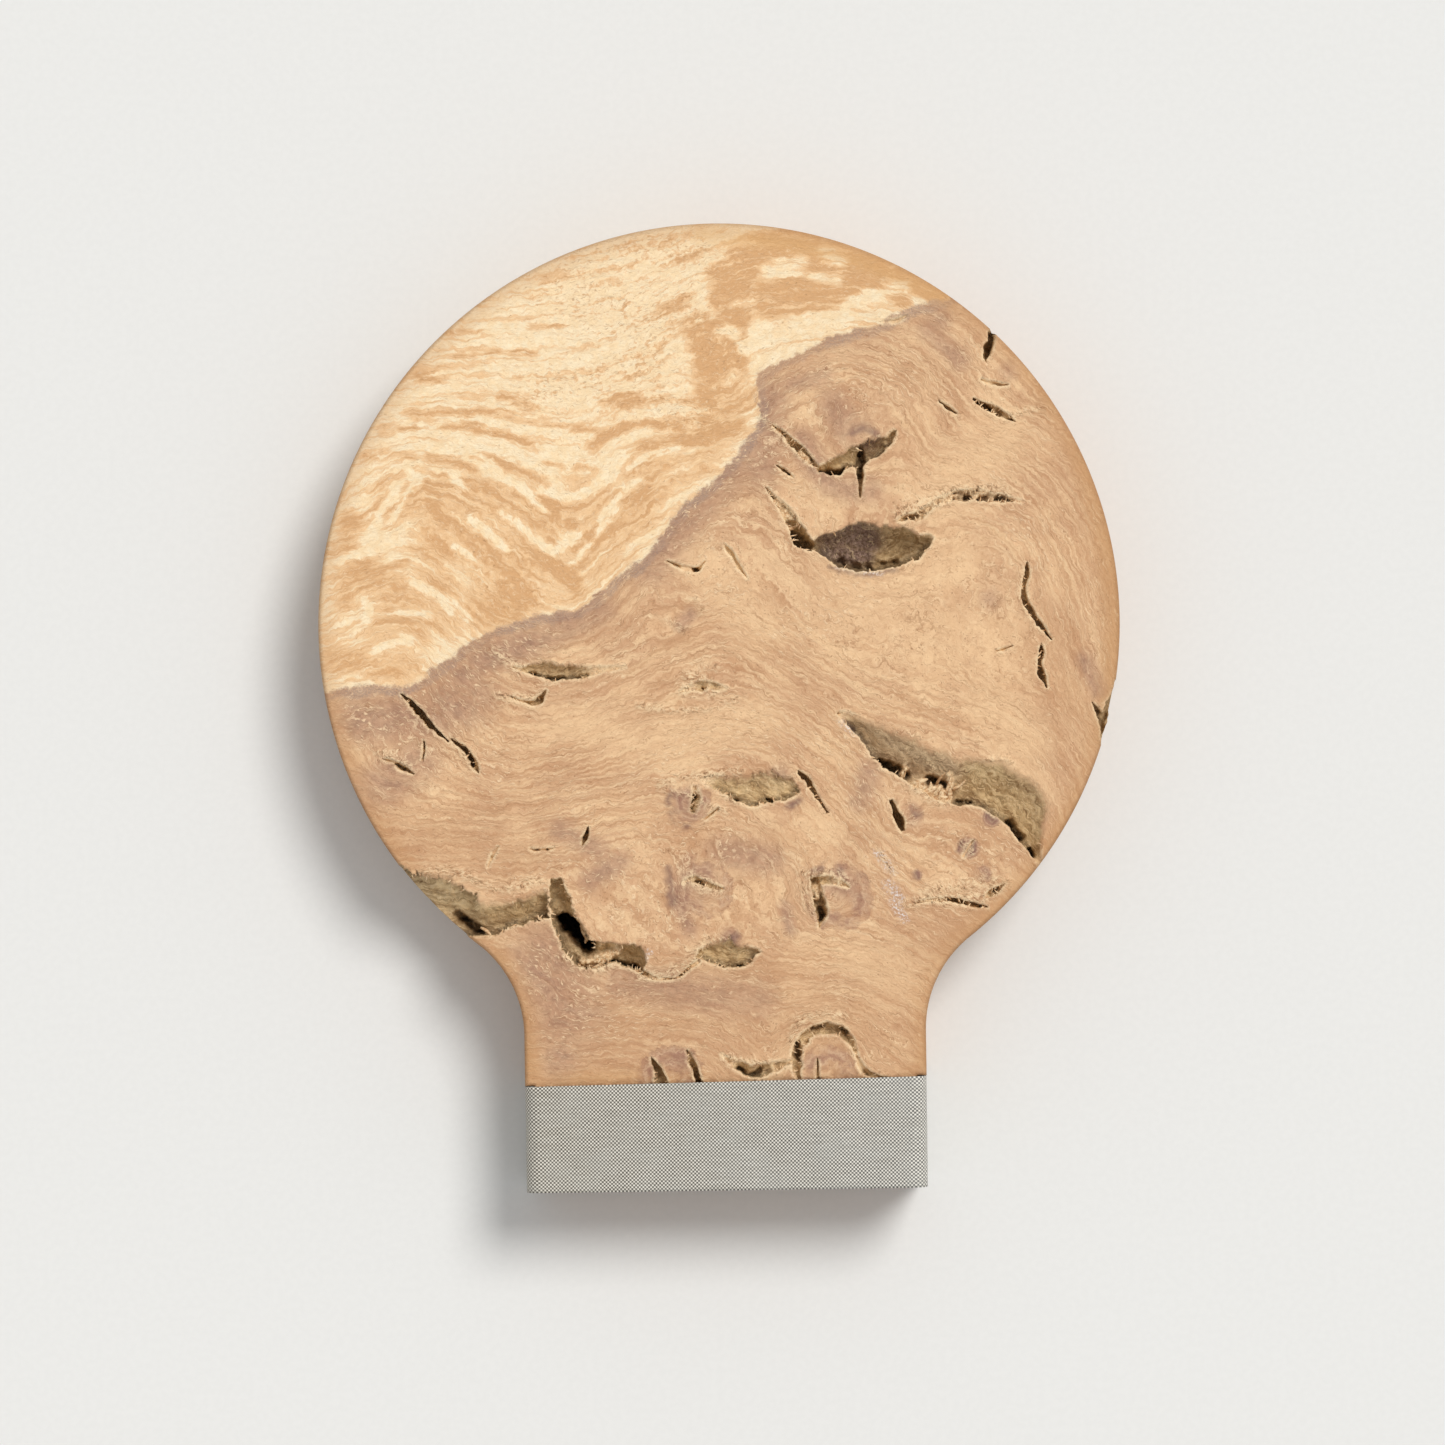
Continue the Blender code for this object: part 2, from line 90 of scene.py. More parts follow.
# The grain's field: its grid in mm, and the rounds in which it is solved
GRID_LOW = (-44.0, -2.0)
GRID_SIZE = (88.0, 102.0)
GRID_STEP = 0.4
GRAIN_ROUNDS = 25
# How far the grain leans in x and y for each mm below the face
GRAIN_LEAN = (0.25, -0.35)

# Slivers of torn wood: corners round them, girths at shares of their length, and their flatness
SHARD_SIDES = 5
SHARD_PROFILE = ((0.0, 0.7), (0.2, 1.0), (0.5, 0.9), (0.8, 0.6), (1.0, 0.15))
SHARD_FLATNESS = 0.6
# How far a sliver stays below the face, and its foot from the outline, in mm
SHARD_SUNK = 0.005
SHARD_CLEAR = 0.15

# The cloth: its threads' width in mm, the spacing round the band in mm, and rows of faces over its height
THREAD = 0.185
BAND_STEP = 0.28
BAND_ROWS = 36

# The camera's distance in m and sensor in mm, and the light
CAMERA_DISTANCE = 0.6
SENSOR_WIDTH = 36.0
SKY_STRENGTH = 0.52
SUN_STRENGTH = 2.15
SUN_ANGLE = math.radians(24.0)
SUN_PLACE = (0.42, 0.50, 0.90)

# The same cracks as in the CAD: depth, then stations along the deepest line (x, y, reach of the slope to the
# left, reach of the steep side to the right), in mm
CRACKS = {
    "rim_slit": (3.0, [
        (27.6, 85.5, 0.3, 0.3), (27.7, 84.6, 0.4, 0.4), (27.3, 83.7, 0.5, 0.5), (27.0, 82.7, 0.2, 0.2),
    ]),
    "rim_line": (0.8, [(26.5, 80.7, 0.1, 0.1), (27.5, 80.2, 0.3, 0.2), (29.3, 80.1, 0.1, 0.1)]),
    "rim_crack": (2.5, [
        (25.7, 78.8, 0.1, 0.1), (26.6, 78.2, 0.3, 0.3), (27.7, 77.6, 0.4, 0.4), (28.8, 77.0, 0.5, 0.3),
        (29.8, 76.5, 0.1, 0.1),
    ]),
    "top_nick": (1.2, [(22.4, 78.5, 0.1, 0.1), (23.2, 77.9, 0.2, 0.2), (24.1, 77.3, 0.1, 0.1)]),
    "brow": (0.6, [(16.6, 86.6, 0.1, 0.1), (18.2, 86.5, 0.4, 0.2), (19.3, 87.2, 0.1, 0.1)]),
    "bird_left_wing": (3.0, [
        (10.0, 71.9, 0.3, 0.2), (11.1, 71.8, 1.1, 0.5), (12.1, 71.8, 1.4, 0.5), (13.1, 72.2, 1.4, 0.2),
        (14.3, 72.3, 2.2, 0.3),
    ]),
    "bird_right_wing": (3.0, [
        (14.1, 71.7, 0.3, 0.2), (15.2, 73.0, 2.0, 0.2), (16.4, 73.5, 1.8, 0.3), (17.1, 74.2, 1.2, 0.3),
        (17.9, 75.7, 0.2, 0.2),
    ]),
    "bird_tail": (2.0, [(14.3, 72.6, 0.3, 0.3), (14.4, 71.0, 0.3, 0.3), (14.3, 69.0, 0.1, 0.1)]),
    "left_brow": (2.0, [
        (5.8, 76.3, 0.1, 0.1), (6.9, 75.4, 0.3, 0.3), (8.3, 74.0, 0.4, 0.4), (9.2, 73.0, 0.4, 0.4),
        (10.1, 72.1, 0.2, 0.2),
    ]),
    "left_brow_nick": (1.0, [(6.0, 72.4, 0.1, 0.1), (6.8, 71.8, 0.2, 0.2), (7.6, 71.2, 0.1, 0.1)]),
    "eye_corner": (2.5, [
        (4.9, 70.2, 0.1, 0.1), (5.9, 68.9, 0.3, 0.3), (7.0, 67.6, 0.5, 0.5), (7.6, 66.3, 0.7, 0.6),
        (8.2, 64.9, 1.0, 0.8), (9.4, 64.0, 0.6, 0.3),
    ]),
    "big_eye": (4.5, [
        (9.4, 64.1, 0.6, 0.2), (10.4, 63.9, 2.2, 0.4), (11.7, 63.2, 3.4, 0.9), (13.7, 62.8, 3.8, 1.1),
        (15.7, 62.8, 3.6, 1.1), (17.7, 63.1, 3.2, 1.1), (19.4, 63.7, 2.6, 1.1), (20.7, 64.3, 1.4, 0.6),
        (21.4, 65.1, 0.3, 0.3),
    ]),
    "right_brow": (2.0, [
        (18.0, 66.7, 0.1, 0.1), (19.5, 67.0, 0.5, 0.3), (20.5, 67.2, 0.5, 0.4), (21.5, 68.2, 0.2, 0.2),
        (22.6, 68.9, 0.4, 0.4), (24.1, 68.9, 0.8, 0.4), (26.1, 68.9, 0.8, 0.4), (27.8, 68.7, 0.6, 0.3),
        (30.6, 68.4, 0.1, 0.1),
    ]),
    "upper_tear": (2.0, [
        (30.9, 62.3, 0.1, 0.1), (30.9, 61.2, 0.3, 0.3), (30.6, 60.1, 0.2, 0.2), (30.5, 58.7, 0.3, 0.3),
        (31.3, 57.3, 0.3, 0.3), (32.2, 56.0, 0.3, 0.3), (33.2, 54.6, 0.1, 0.1),
    ]),
    "lower_tear": (2.5, [
        (32.2, 54.1, 0.1, 0.1), (32.3, 53.2, 0.3, 0.3), (31.9, 52.3, 0.2, 0.2), (32.1, 51.2, 0.4, 0.4),
        (32.7, 49.7, 0.1, 0.1),
    ]),
    "right_dash": (0.6, [(27.8, 53.5, 0.1, 0.1), (28.5, 53.7, 0.1, 0.1), (29.3, 54.0, 0.1, 0.1)]),
    "rim_notch": (4.0, [
        (39.8, 50.4, 0.2, 0.2), (39.2, 48.6, 0.4, 0.4), (38.6, 47.2, 0.5, 0.4), (38.1, 46.0, 0.5, 0.3),
        (38.3, 44.3, 0.2, 0.2),
    ]),
    "notch_branch": (2.0, [(37.3, 48.1, 0.1, 0.1), (37.8, 47.2, 0.3, 0.3), (38.3, 46.2, 0.3, 0.3)]),
    "gorge": (5.0, [
        (11.7, 47.5, 0.4, 0.1), (13.1, 46.0, 1.4, 0.2), (14.7, 44.4, 2.6, 0.3), (16.1, 42.6, 3.7, 0.4),
        (18.4, 41.1, 4.0, 0.4), (20.8, 39.5, 4.5, 0.5), (22.8, 38.5, 4.6, 0.4), (25.3, 38.4, 4.6, 0.3),
        (27.4, 37.4, 4.8, 0.3), (29.0, 36.1, 5.0, 0.4), (30.2, 34.3, 2.2, 0.3), (31.8, 32.0, 0.2, 0.1),
    ]),
    "mouth": (2.5, [
        (-1.9, 41.1, 0.3, 0.2), (-0.5, 40.4, 1.2, 0.4), (1.0, 39.6, 2.0, 0.4), (2.8, 38.8, 2.8, 0.6),
        (4.6, 39.1, 2.8, 0.4), (6.2, 39.3, 2.8, 0.6), (7.6, 40.2, 1.2, 0.6),
    ]),
    "mouth_left_slit": (2.5, [(-2.7, 40.5, 0.2, 0.2), (-2.8, 39.3, 0.7, 0.2), (-3.0, 37.8, 0.4, 0.2)]),
    "mouth_right_slit": (2.0, [
        (7.7, 41.7, 0.2, 0.2), (8.5, 40.9, 0.4, 0.3), (9.1, 39.9, 0.3, 0.3), (9.7, 38.9, 0.2, 0.2),
        (10.5, 37.7, 0.1, 0.1),
    ]),
    "mouth_nick": (0.8, [(-1.7, 37.1, 0.1, 0.1), (-1.0, 37.6, 0.2, 0.2), (-0.3, 38.2, 0.1, 0.1)]),
    "knot_slit": (3.0, [
        (16.9, 38.8, 0.2, 0.2), (17.3, 37.7, 0.3, 0.3), (17.8, 36.7, 0.5, 0.5), (18.1, 35.6, 0.2, 0.2),
    ]),
    "knot_star": (1.0, [(24.0, 32.9, 0.1, 0.1), (24.5, 33.7, 0.2, 0.2), (25.1, 34.6, 0.1, 0.1)]),
    "hook_stem": (3.5, [
        (9.1, 31.1, 0.5, 0.4), (9.3, 29.7, 0.6, 0.5), (9.6, 28.5, 0.7, 0.6), (9.8, 27.4, 0.6, 0.5),
        (9.6, 26.2, 0.1, 0.1),
    ]),
    "hook_arm": (2.0, [
        (9.5, 30.8, 0.4, 0.4), (10.6, 30.8, 0.5, 0.3), (11.7, 30.5, 0.4, 0.2), (12.6, 30.1, 0.1, 0.1),
    ]),
    "button": (1.5, [
        (-4.0, 30.8, 0.1, 0.1), (-3.1, 31.2, 0.4, 0.3), (-2.2, 30.9, 0.3, 0.3), (-1.0, 30.3, 0.3, 0.3),
        (0.1, 30.1, 0.1, 0.1),
    ]),
    "cheek_crack": (1.0, [
        (19.3, 28.4, 0.1, 0.1), (20.7, 28.7, 0.2, 0.2), (22.2, 28.7, 0.2, 0.2), (23.5, 28.5, 0.4, 0.2),
        (24.9, 28.1, 0.3, 0.2), (26.5, 27.9, 0.1, 0.1),
    ]),
    "cheek_nick": (1.0, [(26.1, 28.8, 0.1, 0.1), (27.0, 29.3, 0.5, 0.3), (28.1, 30.1, 0.1, 0.1)]),
    "left_slash": (3.0, [
        (-31.9, 50.1, 0.1, 0.1), (-31.0, 49.2, 0.3, 0.3), (-29.9, 48.1, 0.4, 0.4), (-28.8, 46.6, 0.3, 0.3),
        (-27.2, 45.2, 0.1, 0.1),
    ]),
    "left_slash_end": (2.5, [
        (-27.0, 45.5, 0.1, 0.1), (-25.9, 44.7, 0.3, 0.2), (-25.1, 43.6, 0.4, 0.4), (-24.6, 42.8, 0.4, 0.4),
        (-24.3, 42.1, 0.1, 0.1),
    ]),
    "left_dimple": (1.2, [
        (-33.7, 43.6, 0.1, 0.1), (-32.7, 43.2, 0.3, 0.2), (-31.7, 42.6, 0.3, 0.3), (-30.8, 42.1, 0.1, 0.1),
    ]),
    "left_prick": (1.0, [(-29.7, 45.4, 0.1, 0.1), (-29.7, 44.5, 0.2, 0.2), (-29.8, 43.7, 0.1, 0.1)]),
    "smile": (2.5, [
        (-20.6, 52.6, 0.1, 0.1), (-19.4, 52.2, 0.4, 0.2), (-18.0, 51.9, 1.2, 0.4), (-16.3, 51.6, 1.3, 0.4),
        (-14.7, 51.5, 1.2, 0.3), (-13.2, 51.8, 0.8, 0.3), (-11.7, 52.1, 0.4, 0.2), (-9.4, 52.5, 0.1, 0.1),
    ]),
    "under_smile": (1.5, [
        (-21.0, 49.7, 0.1, 0.1), (-19.8, 49.1, 0.2, 0.2), (-18.7, 48.9, 0.3, 0.2), (-17.9, 49.3, 0.4, 0.4),
        (-17.4, 50.3, 0.1, 0.1),
    ]),
    "centre_wave": (1.2, [
        (-5.1, 63.0, 0.1, 0.1), (-3.9, 62.4, 0.2, 0.2), (-2.9, 62.0, 0.4, 0.3), (-2.0, 62.1, 0.2, 0.2),
        (-1.3, 62.9, 0.1, 0.1),
    ]),
    "centre_slit": (1.2, [
        (0.6, 64.6, 0.1, 0.1), (1.3, 63.7, 0.3, 0.3), (1.9, 62.6, 0.2, 0.2), (2.9, 61.1, 0.1, 0.1),
    ]),
    "centre_hollow": (1.5, [
        (-4.0, 49.9, 0.1, 0.1), (-3.0, 50.1, 0.5, 0.3), (-2.0, 50.4, 0.6, 0.5), (-0.8, 50.4, 0.5, 0.3),
        (0.7, 50.1, 0.1, 0.1),
    ]),
    "cheek_prick": (1.5, [(-13.4, 36.5, 0.1, 0.1), (-13.7, 35.6, 0.4, 0.3), (-14.0, 34.7, 0.1, 0.1)]),
    "left_comma": (0.8, [(-22.4, 34.7, 0.1, 0.1), (-23.0, 33.9, 0.2, 0.2), (-23.5, 32.6, 0.1, 0.1)]),
    "left_dots": (0.6, [(-19.3, 34.4, 0.1, 0.1), (-18.4, 34.2, 0.2, 0.2), (-16.9, 34.4, 0.1, 0.1)]),
    "cave_left": (5.5, [
        (-33.1, 33.3, 0.2, 1.4), (-31.3, 31.1, 1.0, 2.0), (-29.3, 29.1, 2.6, 2.0), (-27.7, 28.0, 3.6, 1.0),
        (-26.0, 26.4, 4.2, 0.7), (-23.6, 26.3, 3.0, 0.6), (-21.8, 27.0, 2.4, 0.6), (-20.0, 27.6, 2.0, 0.5),
        (-17.6, 28.1, 2.4, 0.7),
    ]),
    "cave_shaft": (8.0, [
        (-16.7, 31.3, 0.6, 0.6), (-16.3, 29.2, 1.0, 1.2), (-15.8, 27.2, 1.0, 1.4), (-15.0, 25.4, 1.4, 1.4),
        (-14.4, 23.7, 1.6, 1.4), (-13.6, 22.6, 0.8, 0.4),
    ]),
    "cave_gallery": (6.0, [
        (-14.4, 23.4, 2.2, 0.8), (-12.6, 23.0, 1.8, 0.8), (-10.9, 23.4, 1.6, 0.3), (-9.4, 22.7, 2.4, 0.5),
        (-8.2, 22.1, 1.0, 0.4),
    ]),
    "cave_thread": (1.2, [
        (-8.2, 21.9, 0.3, 0.3), (-7.2, 21.3, 0.2, 0.2), (-6.0, 21.1, 0.2, 0.1), (-4.6, 21.2, 0.1, 0.1),
        (-3.8, 22.1, 0.2, 0.2), (-2.4, 23.0, 0.2, 0.2),
    ]),
    "low_scoop": (3.0, [
        (-2.7, 23.5, 0.6, 0.3), (-1.4, 23.2, 2.0, 0.4), (-0.2, 22.6, 2.8, 0.5), (1.4, 22.6, 2.6, 0.4),
        (2.6, 23.2, 1.6, 0.4), (3.6, 23.9, 0.2, 0.2),
    ]),
    "foot_slit_left": (2.5, [
        (-7.4, 13.3, 0.1, 0.1), (-6.9, 12.3, 0.4, 0.4), (-6.5, 11.1, 0.6, 0.6), (-6.3, 10.1, 0.6, 0.6),
    ]),
    "foot_slit_right": (2.5, [
        (-3.9, 14.1, 0.1, 0.1), (-3.4, 12.9, 0.4, 0.3), (-2.9, 11.6, 0.4, 0.4), (-2.7, 10.0, 0.5, 0.5),
    ]),
    "foot_fan": (2.0, [
        (-0.4, 13.6, 0.1, 0.1), (0.8, 12.6, 0.4, 0.3), (2.0, 11.6, 1.0, 0.3), (3.0, 11.2, 1.4, 0.3),
        (4.2, 11.8, 1.0, 0.3), (5.6, 12.4, 0.4, 0.3), (7.0, 12.9, 0.1, 0.1),
    ]),
    "arch": (2.5, [
        (7.3, 10.9, 0.3, 0.3), (7.0, 12.7, 0.5, 0.5), (7.3, 14.3, 0.5, 0.5), (8.1, 15.4, 0.6, 0.5),
        (9.4, 16.0, 0.7, 0.5), (10.8, 15.9, 0.7, 0.5), (12.0, 15.3, 0.6, 0.4), (12.8, 14.2, 0.3, 0.2),
        (13.2, 13.0, 0.1, 0.1),
    ]),
    "arch_foot": (1.5, [
        (13.1, 13.2, 0.1, 0.1), (13.6, 11.8, 0.4, 0.4), (14.6, 11.0, 0.4, 0.3), (16.4, 10.8, 0.1, 0.1),
    ]),
    "tongue_slit": (2.0, [(9.2, 12.9, 0.1, 0.1), (9.2, 11.7, 0.2, 0.2), (9.3, 9.9, 0.3, 0.3)]),
}
# Cracks whose two sides lie due north and south of their line
SLOPES_NORTH = ("cave_left",)
# Where the pockets are shallower than the CAD's over most of their length, in mm
VISUAL_DEPTH = {
    "cave_shaft": 2.8, "cave_gallery": 2.8, "cave_left": 3.0, "gorge": 2.8, "right_brow": 1.5, "mouth": 1.1,
    "bird_left_wing": 2.3, "bird_right_wing": 2.4, "low_scoop": 1.4, "smile": 1.3, "big_eye": 3.7,
    "left_brow": 1.6, "centre_hollow": 0.8, "button": 0.6, "cheek_nick": 0.8, "foot_fan": 1.3, "arch": 1.4,
    "hook_stem": 2.1, "hook_arm": 1.0, "mouth_left_slit": 1.6, "left_comma": 0.9, "left_dots": 0.45,
    "cheek_prick": 2.2, "centre_wave": 0.9, "centre_slit": 0.6, "left_prick": 1.2,
}
# Pockets whose gentle side still falls away quickly below its rim
ROUND_WALLS = ("big_eye", "smile", "bird_left_wing", "bird_right_wing", "low_scoop", "mouth", "cave_gallery")
ROUNDING = 0.75
# Pockets whose walls are partly like that, to the right of this place in mm
ROUND_RIGHT_OF = {"gorge": 22.0}
# How rough the pockets' walls are, where they are smoother than most
WALL_ROUGHNESS = {"gorge": 0.35, "smile": 0.3, "big_eye": 0.6, "cave_left": 0.7, "bird_right_wing": 0.5,
                  "mouth": 0.8, "low_scoop": 0.8}
# Slits that stay open over their whole length
WHOLE = ("rim_slit", "rim_notch", "notch_branch", "left_slash", "bird_tail", "knot_slit", "cheek_prick",
         "upper_tear", "lower_tear", "mouth_right_slit")
# How many torn fibres reach over the rims of each crack
FIBRES = {
    "gorge": 12, "cave_left": 40, "cave_shaft": 34, "cave_gallery": 30, "mouth": 44, "low_scoop": 24,
    "right_brow": 60, "left_brow": 30, "eye_corner": 32, "upper_tear": 16, "lower_tear": 12, "rim_crack": 18,
    "hook_stem": 14, "hook_arm": 12, "arch": 34, "foot_fan": 26, "cheek_crack": 34, "cheek_nick": 12,
    "cave_thread": 24, "smile": 16, "under_smile": 8, "mouth_left_slit": 12, "mouth_right_slit": 8,
    "left_slash": 3, "left_slash_end": 6, "centre_hollow": 14, "button": 12, "big_eye": 14,
    "bird_left_wing": 8, "bird_right_wing": 8, "foot_slit_left": 6, "foot_slit_right": 6, "arch_foot": 10,
}
# Splinters: the foot and tip as x, y in px and depth in mm, then the width in px
SPLINTERS = [
    (911, 790, 1.2, 928, 779, 0.3, 9), (918, 795, 1.0, 938, 786, 0.2, 8), (926, 801, 1.2, 931, 782, 0.2, 9),
    (932, 802, 1.2, 948, 797, 0.3, 8), (938, 806, 1.0, 942, 789, 0.2, 8), (944, 800, 1.5, 951, 776, 0.5, 5),
    (948, 804, 1.2, 950, 788, 0.3, 7), (950, 790, 1.8, 966, 780, 0.9, 4), (904, 779, 2.0, 907, 766, 0.9, 2),
    (937, 785, 2.2, 945, 773, 0.7, 3), (583, 967, 2.2, 618, 950, 1.2, 5), (590, 971, 1.8, 608, 957, 1.1, 6),
    (580, 924, 3.6, 587, 942, 2.0, 3), (640, 971, 1.4, 651, 981, 0.3, 4), (630, 976, 1.5, 641, 967, 0.4, 4),
    (646, 986, 1.0, 652, 972, 0.2, 4), (655, 975, 0.8, 665, 979, 0.1, 3), (699, 946, 1.0, 706, 933, 0.2, 3),
    (781, 453, 1.2, 790, 444, 0.2, 3), (794, 463, 1.2, 804, 458, 0.2, 3), (805, 471, 1.0, 813, 463, 0.1, 3),
    (769, 431, 1.0, 778, 424, 0.1, 2), (777, 508, 1.6, 791, 500, 0.3, 3), (782, 521, 1.6, 796, 514, 0.4, 3),
    (787, 533, 1.8, 801, 524, 0.5, 3), (960, 889, 0.6, 990, 880, 0.1, 3), (930, 898, 0.5, 962, 886, 0.1, 3),
    (480, 928, 1.6, 492, 938, 0.6, 4), (706, 800, 1.2, 718, 790, 0.2, 4), (664, 790, 0.9, 672, 782, 0.1, 3),
]
# Dark holes inside the pockets: width px, points px, depth mm
HOLES = [
    (14, [(564, 921), (574, 929), (588, 944)], 8.0), (9, [(458, 916), (478, 932)], 5.0),
    (5, [(583, 826), (581, 838)], 2.5), (4, [(690, 567), (698, 572)], 2.4),
    (4, [(532, 698), (541, 702)], 2.2), (4, [(490, 846), (489, 858)], 1.8),
    (3, [(519, 847), (526, 848)], 1.4), (3, [(536, 849)], 1.2), (3, [(546, 851)], 1.2),
    (4, [(712, 792), (722, 800)], 2.2), (4, [(735, 802), (745, 806)], 2.2),
    (3, [(700, 778), (708, 786)], 2.0), (3, [(686, 776), (696, 780)], 1.8),
    (4, [(768, 800), (776, 802)], 2.4), (4, [(714, 968), (722, 970)], 3.0),
    (4, [(734, 970), (742, 968)], 3.0), (5, [(468, 756), (471, 766)], 2.6),
    (3, [(702, 688), (710, 690)], 1.4), (5, [(530, 674), (546, 680), (564, 681)], 2.4),
    (4, [(572, 680), (586, 675)], 1.6), (3, [(398, 764), (406, 770)], 2.2),
    (3, [(698, 882), (704, 885)], 2.0), (4, [(786, 470), (789, 474)], 2.0),
    (3, [(650, 978), (658, 980)], 1.4), (3, [(680, 976), (686, 972)], 1.4),
    (3, [(672, 706), (678, 705)], 1.2), (8, [(614, 966), (638, 971)], 4.5),
    (6, [(582, 968), (597, 971)], 3.8), (9, [(884, 765), (903, 774)], 5.0),
    (7, [(930, 780), (944, 784)], 4.5), (4, [(958, 802), (972, 803)], 3.6),
    (7, [(1010, 824), (1022, 838)], 4.6), (5, [(1029, 850), (1032, 856)], 3.5),
    (7, [(822, 472), (842, 473)], 4.0), (7, [(861, 450), (860, 475)], 4.2),
    (12, [(792, 535), (806, 546)], 4.0), (8, [(842, 562), (870, 567), (896, 562)], 4.4),
    (8, [(821, 911), (824, 920)], 3.4), (6, [(796, 1045), (799, 1060)], 2.6),
    (5, [(843, 1030), (850, 1034)], 2.2), (5, [(693, 790), (691, 806)], 2.6),
    (5, [(812, 1030), (822, 1026)], 2.0), (5, [(738, 1070), (750, 1078), (760, 1070)], 2.6),
    (8, [(993, 336), (989, 356)], 4.0), (7, [(976, 400), (990, 410)], 3.2),
    (4, [(908, 516), (916, 516)], 1.8), (3, [(932, 508), (938, 504)], 2.0),
    (5, [(948, 494), (956, 490)], 2.4), (5, [(966, 497), (976, 498)], 2.4),
    (5, [(998, 499), (1010, 499)], 2.2), (4, [(948, 898), (964, 903), (980, 905)], 1.8),
    (4, [(990, 896), (998, 888)], 1.8), (8, [(1103, 706), (1098, 722)], 4.0),
    (6, [(775, 434), (780, 442)], 2.6), (5, [(764, 418), (768, 424)], 2.2),
    (5, [(800, 467), (806, 470)], 2.4),
]
# Torn wood standing inside the pockets: width px, points px, depth of its top in mm
PLUGS = [
    (14, [(914, 786), (924, 790), (934, 800)], 0.5), (11, [(940, 790), (948, 802)], 0.6),
    (7, [(949, 776), (951, 788)], 0.9), (9, [(583, 962), (600, 960), (617, 951)], 1.2),
    (4, [(581, 926), (586, 942)], 2.2), (6, [(905, 768), (902, 776)], 1.2),
    (6, [(776, 432), (782, 440)], 0.5), (6, [(800, 452), (808, 462)], 0.4),
    (6, [(785, 512), (792, 518)], 0.5), (7, [(925, 512), (934, 506)], 0.3),
    (6, [(975, 497), (985, 492)], 0.2), (7, [(662, 788), (668, 792)], 0.4),
    (8, [(678, 786), (690, 790), (700, 792)], 0.3), (7, [(708, 794), (722, 798)], 0.4),
    (5, [(655, 975), (662, 978)], 0.1), (5, [(676, 974), (684, 970)], 0.1), (3, [(541, 849)], 0.0),
    (5, [(820, 872), (828, 874)], 0.2), (7, [(816, 890), (818, 898)], 0.7),
    (6, [(836, 878), (840, 882)], 0.2), (6, [(945, 500), (955, 496)], 0.2),
]
# How far round a crack its rim still shows in the wood, in mm
RIM_REACH = 1.6
# A crack's least reach to either side, and how far inside its rims the walls' feet lie, in mm
LEAST_REACH = 0.05
WALL_INSET = 0.09
SOFT_INSET = 0.08
# How far apart the cracks' noises lie
SEED_STEP = 3.7
# Torn, fibrous wood on the face itself: width px, points px
TORN_STROKES = [
    (14, [(908, 903), (930, 898), (955, 900), (982, 898), (1006, 884)]),
    (14, [(925, 892), (960, 886), (995, 880)]), (10, [(660, 786), (676, 778), (700, 775), (740, 770)]),
    (8, [(706, 776), (720, 792), (736, 802)]), (9, [(684, 884), (698, 876), (712, 884), (702, 892)]),
    (8, [(808, 876), (822, 870), (840, 876)]), (10, [(698, 950), (712, 936), (728, 942)]),
    (13, [(640, 976), (665, 974), (690, 964), (703, 948)]),
    (9, [(790, 1040), (800, 1020), (820, 1012), (845, 1016)]), (8, [(724, 1055), (745, 1062), (770, 1062)]),
    (18, [(900, 514), (930, 502), (960, 490), (1004, 492)]), (8, [(762, 416), (785, 440), (812, 466)]),
    (9, [(770, 492), (790, 518), (800, 540)]),
    (10, [(425, 872), (450, 868), (475, 880), (500, 892), (540, 880)]),
    (8, [(560, 955), (590, 974), (620, 962)]), (12, [(684, 690), (700, 684), (714, 692)]),
    (10, [(492, 650), (510, 662), (524, 668)]), (9, [(496, 695), (515, 698), (540, 696)]),
    (8, [(668, 620), (684, 630)]), (8, [(740, 698), (700, 712), (640, 706)]), (8, [(698, 664), (718, 668)]),
    (6, [(694, 598), (702, 612)]), (8, [(1004, 418), (1020, 412), (1042, 408)]),
    (10, [(452, 737), (464, 752), (474, 766)]), (8, [(378, 752), (394, 757), (410, 766)]),
    (16, [(690, 878), (704, 884), (718, 890)]), (9, [(800, 872), (826, 874), (846, 884)]),
    (8, [(962, 842), (972, 852)]), (7, [(880, 852), (892, 870)]), (9, [(912, 786), (930, 800), (950, 806)]),
    (5, [(968, 764), (988, 760), (1004, 757), (1014, 764)]), (16, [(688, 676), (702, 680), (712, 688)]),
    (12, [(496, 652), (508, 662), (518, 672)]), (10, [(804, 884), (806, 900), (812, 912)]),
    (6, [(662, 786), (690, 796), (712, 806), (728, 812)]), (9, [(818, 870), (838, 872), (846, 880)]),
]

